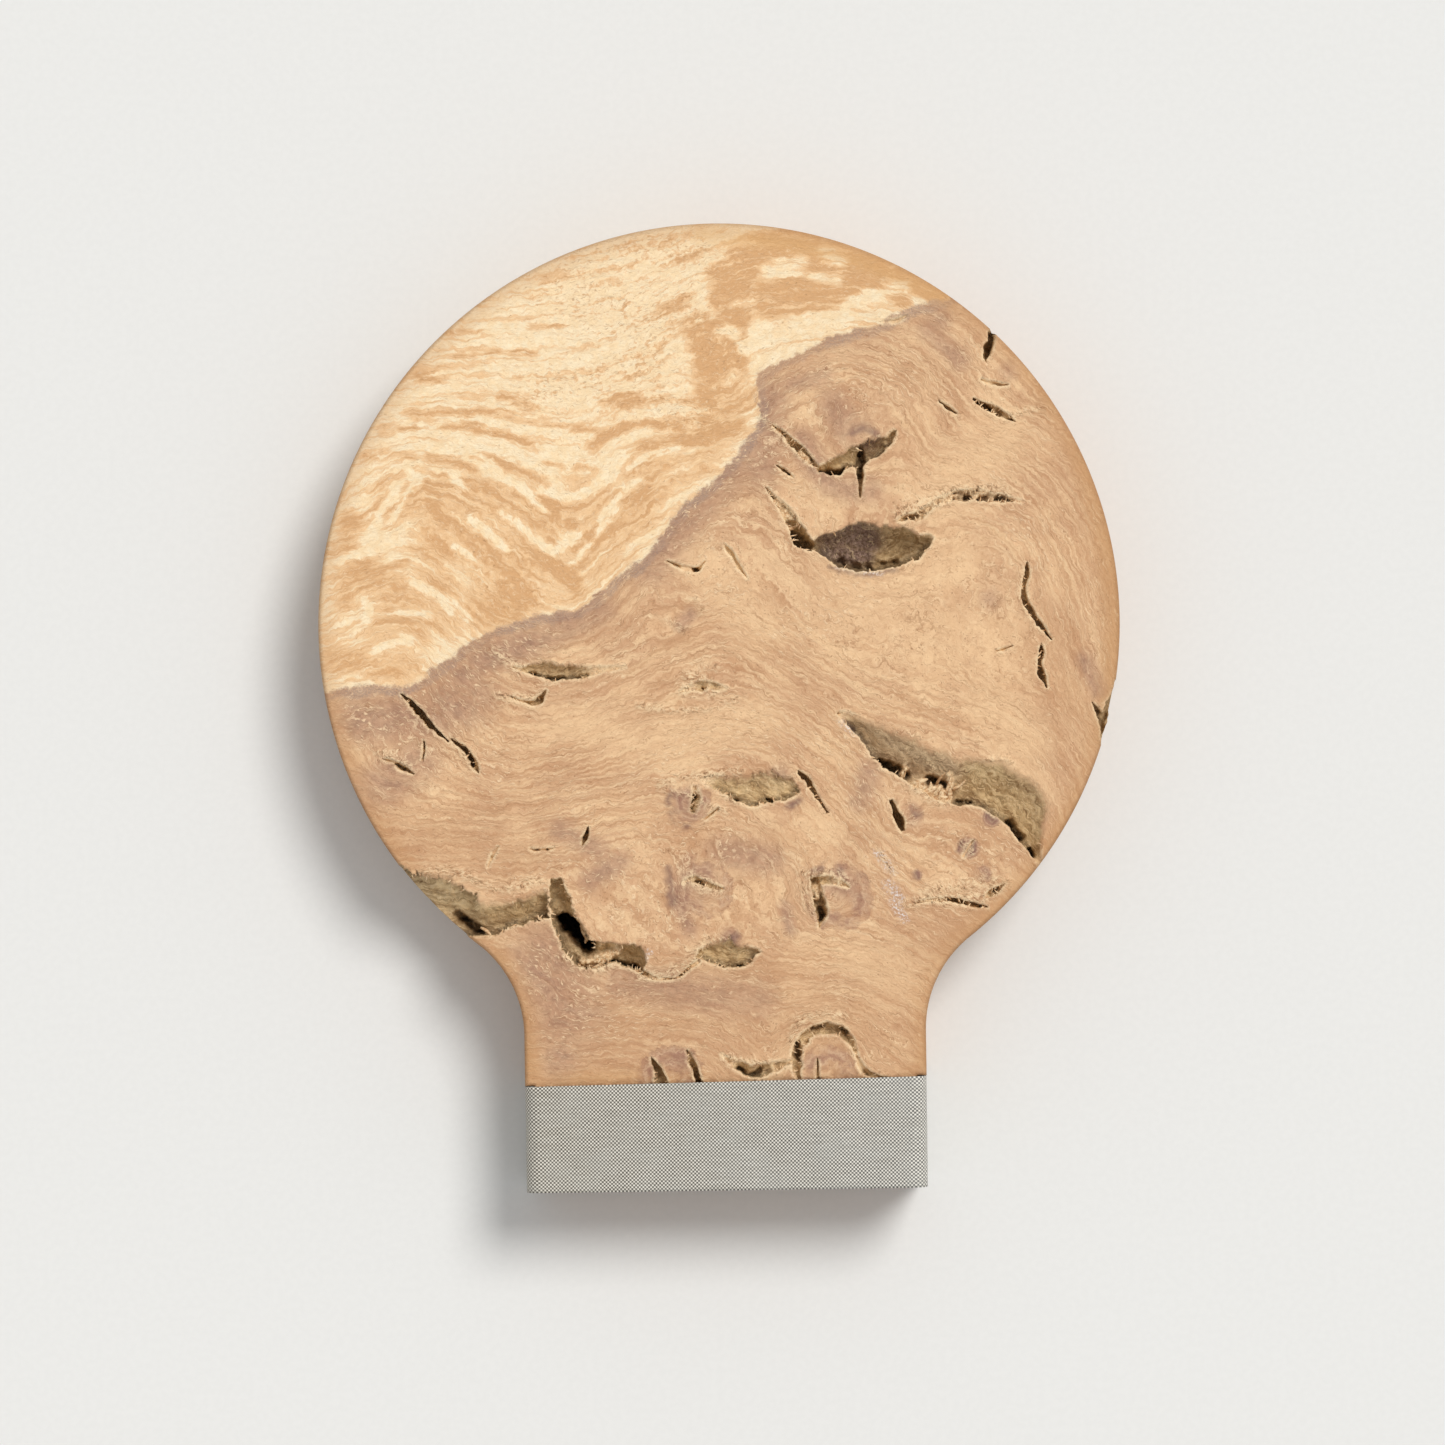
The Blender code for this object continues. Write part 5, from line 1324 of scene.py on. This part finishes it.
def wood_material():
    g = Graph("burl_wood_finish")
    place = g.place()
    x, y, _ = g.node("ShaderNodeSeparateXYZ", {0: place}).outputs
    grain = g.attribute("grain")
    wobble = g.noise(place, 0.45, 2.0, 0.6)
    wobble_fine = g.noise(place, 2.2, 2.0, 0.6)
    wobble_middle = g.noise(place, 1.0, 2.0, 0.5)
    grain_w = g.plus(grain, g.times_plus(wobble, 1.9, g.times(wobble_fine, 0.55)))
    grain_w = g.times_plus(wobble_middle, 1.4, grain_w)

    def along(across_scale, along_scale, seed=0.0):
        """Coordinates whose noise is drawn out along the grain."""
        return g.vector(g.times(grain_w, across_scale),
                        g.times_plus(x, along_scale, seed), g.times_plus(y, along_scale, seed))

    def dashes(across_scale, along_scale, seed, size, share):
        """Short marks drawn out along the grain, in a share of the cells."""
        cells = g.node("ShaderNodeTexVoronoi", {"Vector": along(across_scale, along_scale, seed), "Scale": 1.0})
        luck = g.node("ShaderNodeSeparateColor", {0: cells.outputs["Color"]}).outputs[0]
        chosen = g.span(luck, 1.0 - share, 1.0 - share + 0.04)
        return g.times(g.span(cells.outputs["Distance"], size, size * 0.45), chosen)

    # Noises that several stages share
    broad = g.noise(along(0.30, 0.06), 1.0, 2.0, 0.55)
    bands = g.noise(along(0.8, 0.10, 5.0), 1.0, 4.0, 0.6)
    streaks = g.noise(along(3.2, 0.42, 11.0), 1.0, 4.0, 0.6)
    fibres = g.noise(along(9.0, 1.5, 17.0), 1.0, 3.0, 0.65)
    cloud = g.noise(place, 0.16, 2.0, 0.6)
    mottle = g.noise(place, 1.3, 4.0, 0.65)
    grit = g.noise(place, 6.0, 3.0, 0.7)

    # Heartwood
    heart = g.mix(g.span(cloud, 0.38, 0.62), srgb(213, 169, 130), srgb(231, 189, 146))
    heart = g.coats(
        heart,
        (g.lift(bands, 0.52, 0.36, 0.46), 196, 146, 106),
        (g.lift(bands, 0.52, 0.68, 0.44), 238, 200, 154),
    )
    ripples = g.noise(along(2.0, 0.12, 91.0), 1.0, 2.0, 0.55)
    heart = g.coats(
        heart,
        (g.lift(ripples, 0.52, 0.62, 0.50), 244, 208, 163),
        (g.lift(ripples, 0.48, 0.38, 0.46), 190, 142, 102),
        (g.painted("pale", 0.66), 241, 202, 157),
        (g.painted("brown", 0.42), 196, 148, 108),
        (g.lift(streaks, 0.53, 0.70, 0.38), 245, 210, 166),
        (g.lift(streaks, 0.47, 0.30, 0.34), 182, 132, 94),
        (g.lift(mottle, 0.50, 0.32, 0.22), 188, 140, 104),
        # Painted shadow along the slab's edge, partly the wood's warmer tone
        (g.painted("warm_tone_and_rim_shadow", 0.5), 204, 156, 106),
    )
    mauve_amount = g.times(g.attribute("mauve"), g.span(broad, 0.3, 0.7, 0.45, 0.8))
    mauve = g.mix(g.span(mottle, 0.35, 0.65), srgb(154, 117, 99), srgb(184, 142, 117))
    heart = g.mix(mauve_amount, heart, mauve)
    halo = g.span(g.attribute("sapwood"), -3.6, -0.2, 0.0, 0.26)
    heart = g.mix(g.times(halo, g.span(cloud, 0.35, 0.65, 0.5, 1.0)), heart, srgb(176, 132, 106))

    # Sapwood, with its caramel figure
    painted = g.painted("caramel", 0.34)
    painted = g.plus(painted, g.painted("dense", 0.29))
    painted = g.plus(painted, g.painted("caramel_area", 0.40))
    painted = g.plus(painted, g.times(g.attribute("speckle"), g.minus(mottle, 0.5)))
    painted = g.minus(painted, g.painted("cream", 0.42))
    waves = g.noise(along(1.35, 0.16, 71.0), 1.0, 2.0, 0.6)
    figure = g.times_plus(bands, 0.75, painted)
    figure = g.plus(figure, g.times_plus(waves, 0.9, g.times(mottle, 0.25)))
    figure = g.times_plus(streaks, 0.25, figure)
    caramel = g.span(figure, 1.07, 1.23)
    deep_caramel = g.span(figure, 1.24, 1.46)
    sap = g.mix(g.span(mottle, 0.35, 0.65), srgb(252, 223, 179), srgb(255, 235, 199))
    sap = g.coats(
        sap,
        (g.times(caramel, 0.78), 239, 193, 142),
        (g.times(deep_caramel, 0.76), 212, 160, 108),
        (g.lift(streaks, 0.55, 0.74, 0.30), 222, 176, 126),
        (g.lift(fibres, 0.56, 0.76, 0.30), 206, 160, 112),
    )
    hair = g.noise(along(5.2, 1.4, 131.0), 1.0, 4.0, 0.75)
    sap = g.coats(
        sap,
        (g.lift(hair, 0.53, 0.68, 0.34), 200, 152, 104),
        (g.lift(hair, 0.47, 0.34, 0.34), 255, 236, 200),
        # Painted shadow along the slab's edge, partly the wood's warmer tone
        (g.painted("warm_tone_and_rim_shadow", 0.45), 232, 184, 122),
    )
    pits = g.times(dashes(4.5, 1.3, 40.0, 0.36, 0.5), g.painted("speckle", 0.8))
    pits = g.larger(pits, g.times(dashes(3.4, 1.2, 47.0, 0.24, 0.18), 0.8))
    sap = g.mix(g.times(pits, 0.55), sap, srgb(172, 128, 88))
    flesh = g.times(g.attribute("speckle"), g.noise(place, 2.6, 3.0, 0.75))
    sap = g.mix(g.lift(flesh, 0.52, 0.66, 0.50), sap, srgb(214, 168, 120))

    # The seam between the two
    edge = g.plus(g.attribute("sapwood"), g.times_plus(g.noise(place, 0.7, 5.0, 0.7), 2.0, -1.0))
    is_sap = g.span(edge, -0.18, 0.18)
    wood = g.mix(is_sap, heart, sap)
    seam = g.span(g.math("ABSOLUTE", g.plus(edge, 0.40)), 0.80, 0.15)
    seam = g.times(seam, g.span(grit, 0.36, 0.58, 0.3, 1.0))
    seam = g.times(seam, g.span(cloud, 0.38, 0.60, 0.5, 1.0))
    wood = g.mix(g.times(seam, 0.66), wood, srgb(156, 134, 124))

    # Lines, flecks, curls and pores of the heartwood
    not_sap = g.minus(1.0, g.times(is_sap, 0.75))
    line_base = g.noise(along(1.15, 0.13, 31.0), 1.0, 2.0, 0.5)
    line_zone = g.times(g.span(g.noise(place, 0.28, 2.0), 0.40, 0.56), not_sap)
    light_line = g.span(g.math("ABSOLUTE", g.minus(line_base, 0.50)), 0.016, 0.002)
    dark_line = g.span(g.math("ABSOLUTE", g.minus(line_base, 0.526)), 0.018, 0.002)
    wood = g.mix(g.times(g.times(dark_line, line_zone), 0.42), wood, srgb(158, 112, 76))
    light_line = g.times(light_line, g.span(g.attribute("pale"), 0.0, 1.0, 1.0, 0.35))
    wood = g.mix(g.times(g.times(light_line, line_zone), 0.50), wood, srgb(248, 218, 176))
    fleck_zone = g.times(g.times_plus(g.attribute("fleck"), 0.8, 0.16), not_sap)
    flecks = g.larger(dashes(3.4, 0.95, 3.0, 0.36, 0.60), dashes(2.6, 0.7, 9.0, 0.27, 0.5))
    flecks = g.times(flecks, fleck_zone)
    wood = g.mix(g.times(flecks, 0.80), wood, srgb(244, 212, 172))
    curls = g.noise(along(3.6, 1.2, 141.0), 1.0, 4.0, 0.75, 0.9)
    curled = g.times(not_sap, g.span(g.noise(place, 0.5, 3.0), 0.40, 0.62, 0.25, 1.0))
    wood = g.coats(
        wood,
        (g.times(curled, g.lift(curls, 0.54, 0.68, 0.50)), 246, 214, 170),
        (g.times(curled, g.lift(curls, 0.46, 0.32, 0.50)), 160, 112, 76),
    )
    pores = g.times(dashes(5.5, 2.0, 23.0, 0.28, 0.35), not_sap)
    wood = g.mix(g.times(pores, 0.40), wood, srgb(142, 98, 66))

    # Rings round the eyes, and the mauve and lilac marks
    eye = g.plus(g.attribute("eye"), g.times_plus(mottle, 0.9, -0.45))
    ring = g.times(g.span(eye, 0.30, 0.75), g.span(eye, 1.55, 1.0))
    partly = g.span(g.noise(place, 0.55, 2.0), 0.36, 0.60, 0.25, 1.0)
    wood = g.mix(g.times(ring, g.times(partly, 0.62)), wood, srgb(158, 116, 100))
    turns = g.math("SINE", g.times(eye, 13.0))
    near_eye = g.times(g.span(eye, 2.1, 1.2), partly)
    wood = g.coats(
        wood,
        (g.times(near_eye, g.span(turns, 0.5, 1.0, 0.0, 0.32)), 240, 206, 166),
        (g.times(near_eye, g.span(turns, -0.5, -1.0, 0.0, 0.36)), 150, 106, 84),
        (g.painted("dark_mauve", 0.62), 112, 80, 78),
        (g.painted("lilac", 0.30), 178, 150, 140),
    )
    scuffs = g.times(g.attribute("lilac"), g.span(g.noise(place, 4.0, 3.0, 0.6), 0.50, 0.58))
    wood = g.coats(
        wood,
        (g.times(scuffs, 0.95), 238, 228, 222),
        (g.lift(fibres, 0.48, 0.28, 0.20), 156, 110, 74),
    )

    # Torn rims of the cracks: a pale line of torn fibres along the rims, partly their own colour and partly a
    # painted highlight, and dark crumbs near them
    rim = g.attribute("rim")
    near_rim = g.times_plus(grit, 0.5, g.minus(rim, 0.25))
    torn = g.times(g.span(near_rim, 0.36, 0.02), g.span(mottle, 0.38, 0.58, 0.25, 1.0))
    wood = g.mix(g.times(torn, 0.72), wood, srgb(248, 220, 178))
    crumbs = g.times(g.span(rim, 0.9, 0.1), g.span(g.noise(place, 4.2, 2.0, 0.6), 0.60, 0.68))
    wood = g.mix(g.times(crumbs, 0.45), wood, srgb(134, 98, 64))

    # Torn wood on the face, and painted shadow along the slab's edge
    fibrous = g.times(g.attribute("torn"), g.span(mottle, 0.32, 0.5, 0.4, 1.0))
    tear = g.noise(along(3.6, 1.6, 83.0), 1.0, 3.0, 0.75)
    wood = g.coats(
        wood,
        (g.times(fibrous, g.lift(tear, 0.48, 0.60, 0.8)), 248, 220, 178),
        (g.times(fibrous, g.lift(tear, 0.46, 0.36, 0.85)), 120, 86, 54),
    )
    # Painted shadow: darker towards the slab's edge, darkest within its last half mm
    edge_shadow = g.times_plus(grit, 0.5, g.minus(g.attribute("edge"), 0.25))
    wood = g.coats(
        wood,
        (g.span(edge_shadow, 2.6, 0.3, 0.0, 0.38), 196, 146, 98),
        (g.span(edge_shadow, 0.55, 0.05, 0.0, 0.42), 140, 98, 62),
    )

    # The pockets' walls and floors
    depth = g.attribute("depth")
    wall_grain = g.noise(along(2.4, 0.45, 61.0), 1.0, 4.0, 0.7)
    wall_grit = g.noise(place, 3.4, 4.0, 0.75)
    calm = g.minus(1.0, g.painted("grey_wall", 0.15))
    wall = g.mix(g.span(wall_grain, 0.36, 0.64), srgb(174, 140, 100), srgb(226, 196, 150))
    wall = g.mix(g.painted("ochre_wall", 0.50), wall,
                 g.mix(g.span(wall_grain, 0.38, 0.60), srgb(172, 138, 90), srgb(224, 192, 142)))
    wall = g.mix(g.painted("grey_wall", 0.62), wall,
                 g.mix(g.span(wall_grain, 0.36, 0.60), srgb(152, 128, 104), srgb(212, 184, 150)))
    # Painted shade: the pockets' walls darken with depth, less where they are ochre
    lit = g.minus(1.0, g.painted("ochre_wall", 0.55))
    wall = g.mix(g.times(lit, g.span(depth, 1.3, 3.6, 0.0, 0.56)), wall, srgb(128, 98, 62))
    wall = g.mix(g.painted("purple_wall", 0.82), wall,
                 g.mix(g.span(wall_grit, 0.38, 0.60), srgb(80, 60, 54), srgb(150, 124, 116)))
    wall_lines = g.noise(along(5.0, 0.5, 67.0), 1.0, 4.0, 0.7)
    wall = g.coats(
        wall,
        (g.lift(wall_lines, 0.53, 0.64, 0.60), 240, 212, 168),
        (g.lift(wall_lines, 0.46, 0.36, 0.46), 112, 84, 54),
    )
    # Painted shade at the foot of the steep rims
    painted_undercut_shade = g.times(g.attribute("shade"), g.span(wall_grit, 0.36, 0.56, 0.15, 0.75))
    wall = g.coats(
        wall,
        (painted_undercut_shade, 66, 48, 30),
        # Painted shade: near black where the pockets are deepest
        (g.span(depth, 4.2, 6.2, 0.0, 0.95), 22, 17, 14),
        (g.times(calm, g.span(wall_grit, 0.60, 0.74, 0.0, 0.45)), 228, 200, 158),
        (g.times(calm, g.span(wall_grain, 0.40, 0.30, 0.0, 0.50)), 98, 72, 46),
    )
    ragged_depth = g.plus(depth, g.times_plus(wall_grain, 0.6, -0.3))
    ragged_inner = g.plus(g.attribute("inner"), g.times_plus(wall_grit, 1.0, -0.5))
    in_pocket = g.larger(g.span(ragged_depth, 0.05, 0.8), g.span(ragged_inner, 0.10, 0.8, 0.0, 0.85))
    in_pocket = g.times(in_pocket, g.span(depth, 0.005, 0.02))
    wood = g.mix(in_pocket, wood, wall)
    splinter = g.mix(g.span(wall_grit, 0.40, 0.60), srgb(196, 152, 108), srgb(250, 222, 180))
    wood = g.mix(g.times(g.attribute("plug"), g.span(wall_grit, 0.32, 0.44, 0.25, 0.9)), wood, splinter)

    # Relief
    height = g.plus(g.times(streaks, 0.5), g.times(fibres, 0.35))
    height = g.plus(height, g.times(grit, 0.30))
    height = g.minus(height, g.times(g.larger(pores, pits), 0.7))
    height = g.plus(height, g.times_plus(flecks, 0.6, g.times(curls, 1.4)))
    rough_zone = g.larger(g.span(depth, 0.03, 0.6), g.span(rim, 0.7, 0.0, 0.0, 0.6))
    rough_zone = g.larger(rough_zone, fibrous)
    roughness = g.times(calm, g.times_plus(wall_grit, 1.2, g.times(wall_grain, 2.6)))
    height = g.plus(height, g.times(rough_zone, roughness))
    bump = g.node("ShaderNodeBump", {"Strength": 0.5, "Distance": 0.00016, "Height": height})
    g.put(bump.outputs[0], g.shader.inputs["Normal"])
    g.put(wood, g.shader.inputs["Base Color"])
    g.put(g.span(streaks, 0.3, 0.7, 0.70, 0.56), g.shader.inputs["Roughness"])
    g.shader.inputs["Specular IOR Level"].default_value = 0.25
    return g.material


def rounded_box(half_width, low, high, corner, step):
    """A rounded rectangle in x and z, counterclockwise in mm from the middle of its back, evenly sampled."""
    points = [(0.0, low)]
    corners = [(half_width - corner, low + corner, -90), (half_width - corner, high - corner, 0),
               (corner - half_width, high - corner, 90), (corner - half_width, low + corner, 180)]
    for x, z, start in corners:
        for turn in np.radians(np.linspace(start, start + 90, 7)):
            points.append((x + corner * math.cos(turn), z + corner * math.sin(turn)))
    points.append((0.0, low))
    return resample(points, step)


def make_band():
    """The woven band: a sheet with thickness, wrapped round the foot, whose two ends meet at the back."""
    half = BAND_THICKNESS / 2.0
    high = THICKNESS + BAND_PROUD - half
    path = rounded_box(FOOT_HALF_WIDTH - half, half, high, BAND_CORNER - half, BAND_STEP)
    along = np.concatenate([[0.0], np.cumsum(np.hypot(*np.diff(path, axis=0).T))])
    way = np.gradient(path, axis=0)
    way /= np.hypot(way[:, 0], way[:, 1])[:, None]
    out = np.stack([way[:, 1], -way[:, 0]], axis=1)
    columns = len(path)
    points = []
    us = []
    vs = []
    for side in (half * 0.96, -half * 0.96):
        for row in range(BAND_ROWS + 1):
            for i, (x, z) in enumerate(path):
                top = band_top(x)
                y = row / BAND_ROWS * top
                wave = 0.03 * noise.noise(Vector((along[i] * 0.25, y * 0.3, 7.0)))
                offset = side + (wave if side > 0 else 0.0)
                if i in (0, columns - 1):
                    offset = side * 0.8
                fray = 0.0
                if row in (0, BAND_ROWS):
                    fray = 0.05 * noise.noise(Vector((along[i] * 3.1, row * 4.0, 2.0)))
                height = min(max(y + fray, 0.0), top)
                points.append((x + out[i, 0] * offset, height, z + out[i, 1] * offset))
                us.append(along[i])
                vs.append(y)
    points = np.array(points)
    points[:, 2] = np.maximum(points[:, 2], 0.0)
    inner = (BAND_ROWS + 1) * columns
    faces = []
    for row in range(BAND_ROWS):
        for i in range(columns - 1):
            a = row * columns + i
            faces.append((a, a + 1, a + 1 + columns, a + columns))
            b = inner + a
            faces.append((b, b + columns, b + 1 + columns, b + 1))
    # The two long edges, then the two ends, each closed between the outer and the inner side
    for i in range(columns - 1):
        faces.append((i + 1, i, inner + i, inner + i + 1))
        t = BAND_ROWS * columns + i
        faces.append((t, t + 1, inner + t + 1, inner + t))
    for row in range(BAND_ROWS):
        a = row * columns
        faces.append((a, a + columns, inner + a + columns, inner + a))
        b = a + columns - 1
        faces.append((b + columns, b, inner + b, inner + b + columns))
    points[:, 1] -= LENGTH / 2.0
    mesh = bpy.data.meshes.new("woven_band_mesh")
    mesh.from_pydata([tuple(p) for p in points * MM], [], faces)
    mesh.validate()
    add_attribute(mesh, "weft", us)
    add_attribute(mesh, "warp", vs)
    obj = bpy.data.objects.new("woven_band", mesh)
    PIECES.objects.link(obj)
    mesh.polygons.foreach_set("use_smooth", [True] * len(mesh.polygons))
    mesh.materials.append(cloth_material())
    height = (BAND_TOP_LEFT + BAND_TOP_RIGHT) / 2.0
    return obj, float(along[-1]) * MM, height * MM


def cloth_material():
    g = Graph("woven_cloth_finish")
    place = g.place()
    warp = g.attribute("warp")
    weft = g.attribute("weft")
    turn = math.pi / THREAD
    wobble = g.times_plus(g.noise(place, 1.2, 2.0), 0.10, -0.05)
    a = g.math("SINE", g.times(g.plus(warp, wobble), turn))
    b = g.math("SINE", g.times(g.plus(weft, wobble), turn))
    check = g.times(a, b)
    over = g.span(check, -0.12, 0.22)
    slub = g.noise(g.vector(g.times(weft, 0.3), g.times(warp, 5.0), 0.0), 1.0, 3.0, 0.6)
    slub_up = g.noise(g.vector(g.times(weft, 5.0), g.times(warp, 0.3), 4.0), 1.0, 3.0, 0.6)
    light = g.mix(g.span(slub, 0.3, 0.7), srgb(220, 215, 203), srgb(246, 242, 231))
    dark = g.mix(g.span(slub_up, 0.3, 0.7), srgb(70, 69, 62), srgb(102, 100, 92))
    cloth = g.mix(over, dark, light)
    cloth = g.mix(g.span(g.noise(place, 0.35, 3.0), 0.4, 0.7, 0.0, 0.18), cloth, srgb(176, 178, 172))
    x = g.node("ShaderNodeSeparateXYZ", {0: place}).outputs[0]
    # Painted light: the band browner and darker towards the left, paler and cooler towards the right, where the
    # light comes from
    cloth = g.coats(
        cloth,
        (g.span(x, -22.0, 22.0, 0.10, 0.0, smooth=False), 150, 128, 100),
        (g.span(x, -22.0, 22.0, 0.0, 0.08, smooth=False), 226, 230, 236),
    )
    g.put(cloth, g.shader.inputs["Base Color"])
    bump = g.node("ShaderNodeBump", {"Strength": 0.5, "Distance": 0.00006, "Height": check})
    g.put(bump.outputs[0], g.shader.inputs["Normal"])
    g.shader.inputs["Roughness"].default_value = 0.85
    g.shader.inputs["Specular IOR Level"].default_value = 0.2
    g.shader.inputs["Sheen Weight"].default_value = 0.15
    return g.material


def make_floor():
    bpy.ops.mesh.primitive_plane_add(size=4.0, location=(0.0, 0.0, -0.00005))
    floor = bpy.context.object
    floor.name = "floor"
    g = Graph("pale_floor")
    tone = g.span(g.noise(g.place(), 1.5, 3.0), 0.3, 0.7)
    g.put(g.mix(tone, srgb(228, 228, 226), srgb(230, 230, 228)), g.shader.inputs["Base Color"])
    g.shader.inputs["Roughness"].default_value = 0.9
    floor.data.materials.append(g.material)


def make_camera():
    """Straight above, over the middle of the photograph, rolled as the photograph is."""
    (middle_x, middle_y), = from_px([PHOTO_MIDDLE_PX])
    camera = bpy.data.cameras.new("camera")
    camera.sensor_width = SENSOR_WIDTH
    camera.lens = SENSOR_WIDTH * CAMERA_DISTANCE / (PHOTO_SIDE * PX_MM * MM)
    obj = bpy.data.objects.new("camera", camera)
    obj.location = (middle_x * MM, (middle_y - LENGTH / 2.0) * MM, THICKNESS * MM + CAMERA_DISTANCE)
    obj.rotation_euler = (0.0, 0.0, ROLL)
    bpy.context.scene.collection.objects.link(obj)
    bpy.context.scene.camera = obj


def make_light():
    """Even white light from all round, and a broad soft sun from the upper right."""
    scene = bpy.context.scene
    scene.view_settings.view_transform = "Standard"
    scene.view_settings.look = "None"
    world = bpy.data.worlds.new("studio")
    scene.world = world
    world.use_nodes = True
    background = world.node_tree.nodes["Background"]
    background.inputs["Color"].default_value = (1.0, 1.0, 1.0, 1.0)
    background.inputs["Strength"].default_value = SKY_STRENGTH
    data = bpy.data.lights.new("key", "SUN")
    data.angle = SUN_ANGLE
    data.energy = SUN_STRENGTH
    data.color = (1.0, 0.985, 0.96)
    key = bpy.data.objects.new("key", data)
    key.location = SUN_PLACE
    key.rotation_euler = Vector(SUN_PLACE).to_track_quat("Z", "Y").to_euler()
    scene.collection.objects.link(key)


make_camera()
wood = make_slab()
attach(wood, "root")
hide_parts("burl_slab")
band, band_length, band_height = make_band()
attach(band, "root")
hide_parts("cloth_band")
make_floor()
make_light()
